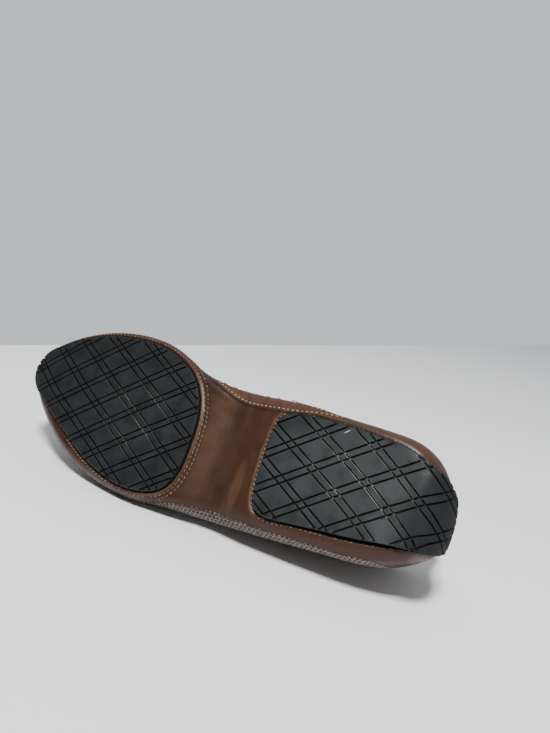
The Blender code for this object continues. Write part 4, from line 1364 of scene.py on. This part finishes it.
def stitches():
    """Threads and needle holes of all rows as two joined pieces."""
    shade = np.random.default_rng(7)
    rows = []
    for row in stitch_rows():
        place, normal, way = evenly(row.points, row.normals, row.pitch)
        tone = np.clip(row.tone + shade.normal(0.0, TONE_SPREAD, len(place)), 0.0, 1.0)
        rows.append((place, normal, way, np.tile(row[2:-1], (len(place), 1)), tone))
    place, normal, way, sizes, tone = (np.concatenate(values) for values in zip(*rows))
    pitch, *thread = np.hsplit(sizes, sizes.shape[1])
    threads = thread_mesh(place, normal, way, *thread)
    tones = {"tone": np.repeat(tone, THREAD_RINGS * THREAD_SIDES)}
    make_piece("stitch_threads", *threads, "leather_bottom", [thread_material()], tones)
    holes = hole_mesh(place + way * pitch / 2, normal, way)
    make_piece("stitch_holes", *holes, "leather_bottom", [pinhole_material()])


# Studio


def camera_axes():
    """Right, up and back of the camera in the row frame."""
    right = unit(CAMERA_RIGHT)
    up = unit(CAMERA_UP - np.dot(CAMERA_UP, right) * right)
    return np.array((right, up, np.cross(right, up))) @ SHOE_AXES


def floor_seen(column, row):
    """Spot of the floor that shows at a column and row of the picture."""
    aside = (column - PICTURE_WIDE / 2) / FOCAL_PIXELS
    rise = (PICTURE_TALL / 2 - row) / FOCAL_PIXELS
    way = np.array((aside, rise, -1.0)) @ camera_axes()
    eye = to_world(CAMERA_PLACE)
    return Vector(eye - way * eye[2] / way[2])


def pale_floor():
    """Pale table that ends along a line which the camera sees level."""
    left = floor_seen(0.0, TABLE_EDGE_ROW)
    way = (floor_seen(PICTURE_WIDE, TABLE_EDGE_ROW) - left).normalized()
    near = left - TABLE_REACH * way
    far = left + TABLE_REACH * way
    aside = Vector((way.y, -way.x, 0.0)) * TABLE_REACH
    mesh = bpy.data.meshes.new("floor")
    mesh.from_pydata([near, near + aside, far + aside, far], [], [(0, 1, 2, 3)])
    floor = placed("floor", mesh)
    material, shader = principled("pale_floor")
    shader.inputs["Base Color"].default_value = srgb(*FLOOR_COLOUR)
    shader.inputs["Roughness"].default_value = 0.6
    mesh.materials.append(material)


def room_light():
    """Light from the room: pale wall behind the shoe, dimmer room in front of it."""
    world = bpy.data.worlds.new("studio")
    world.use_nodes = True
    room = Paint(world.node_tree)
    place = room.add("TexCoord", "Generated", {})
    behind = room.ramp(room.add("SeparateXYZ", "Y", {"Vector": place}), -0.5, 0.4)
    room.feed(room.tree.nodes["Background"], {"Color": room.mix(behind, ROOM_FRONT, ROOM_BACK)})
    bpy.context.scene.world = world


def soft_light(name, place, size, power):
    """Square light that looks at the shoe."""
    data = bpy.data.lights.new(name, "AREA")
    data.shape = "RECTANGLE"
    data.size = data.size_y = size
    data.energy = power
    light = placed(name, data)
    light.location = place
    light.rotation_euler = (LIGHT_TARGET - Vector(place)).to_track_quat("-Z", "Y").to_euler()


def studio():
    """Floor, lights and the camera."""
    pale_floor()
    room_light()
    for light in LIGHTS:
        soft_light(*light)
    camera_data = bpy.data.cameras.new("camera")
    camera_data.sensor_width = 36.0
    camera_data.lens = FOCAL_PIXELS * camera_data.sensor_width / PICTURE_TALL
    camera_data.clip_start = 0.01
    camera = placed("camera", camera_data)
    turn = Matrix(camera_axes().T.tolist()).to_4x4()
    camera.matrix_world = Matrix.Translation(Vector(to_world(CAMERA_PLACE))) @ turn
    bpy.context.scene.camera = camera


leather_bottom()
tread_piece("forefoot_tread", "forefoot_pad", FOREFOOT_LINE, FOREFOOT_CROSSING,
            rubber("forefoot_rubber", FOREFOOT_RUBBER, FOREFOOT_DUST, FOREFOOT_CHALK_AND_HIGHLIGHT))
tread_piece("heel_tread", "heel_pad", HEEL_LINE, HEEL_CROSSING,
            rubber("heel_rubber", HEEL_RUBBER, HEEL_DUST, HEEL_CHALK_AND_HIGHLIGHT,
                   HEEL_REAR, HEEL_SPECKS, HEEL_SCRATCHES))
upper()
footbed()
stitches()
studio()
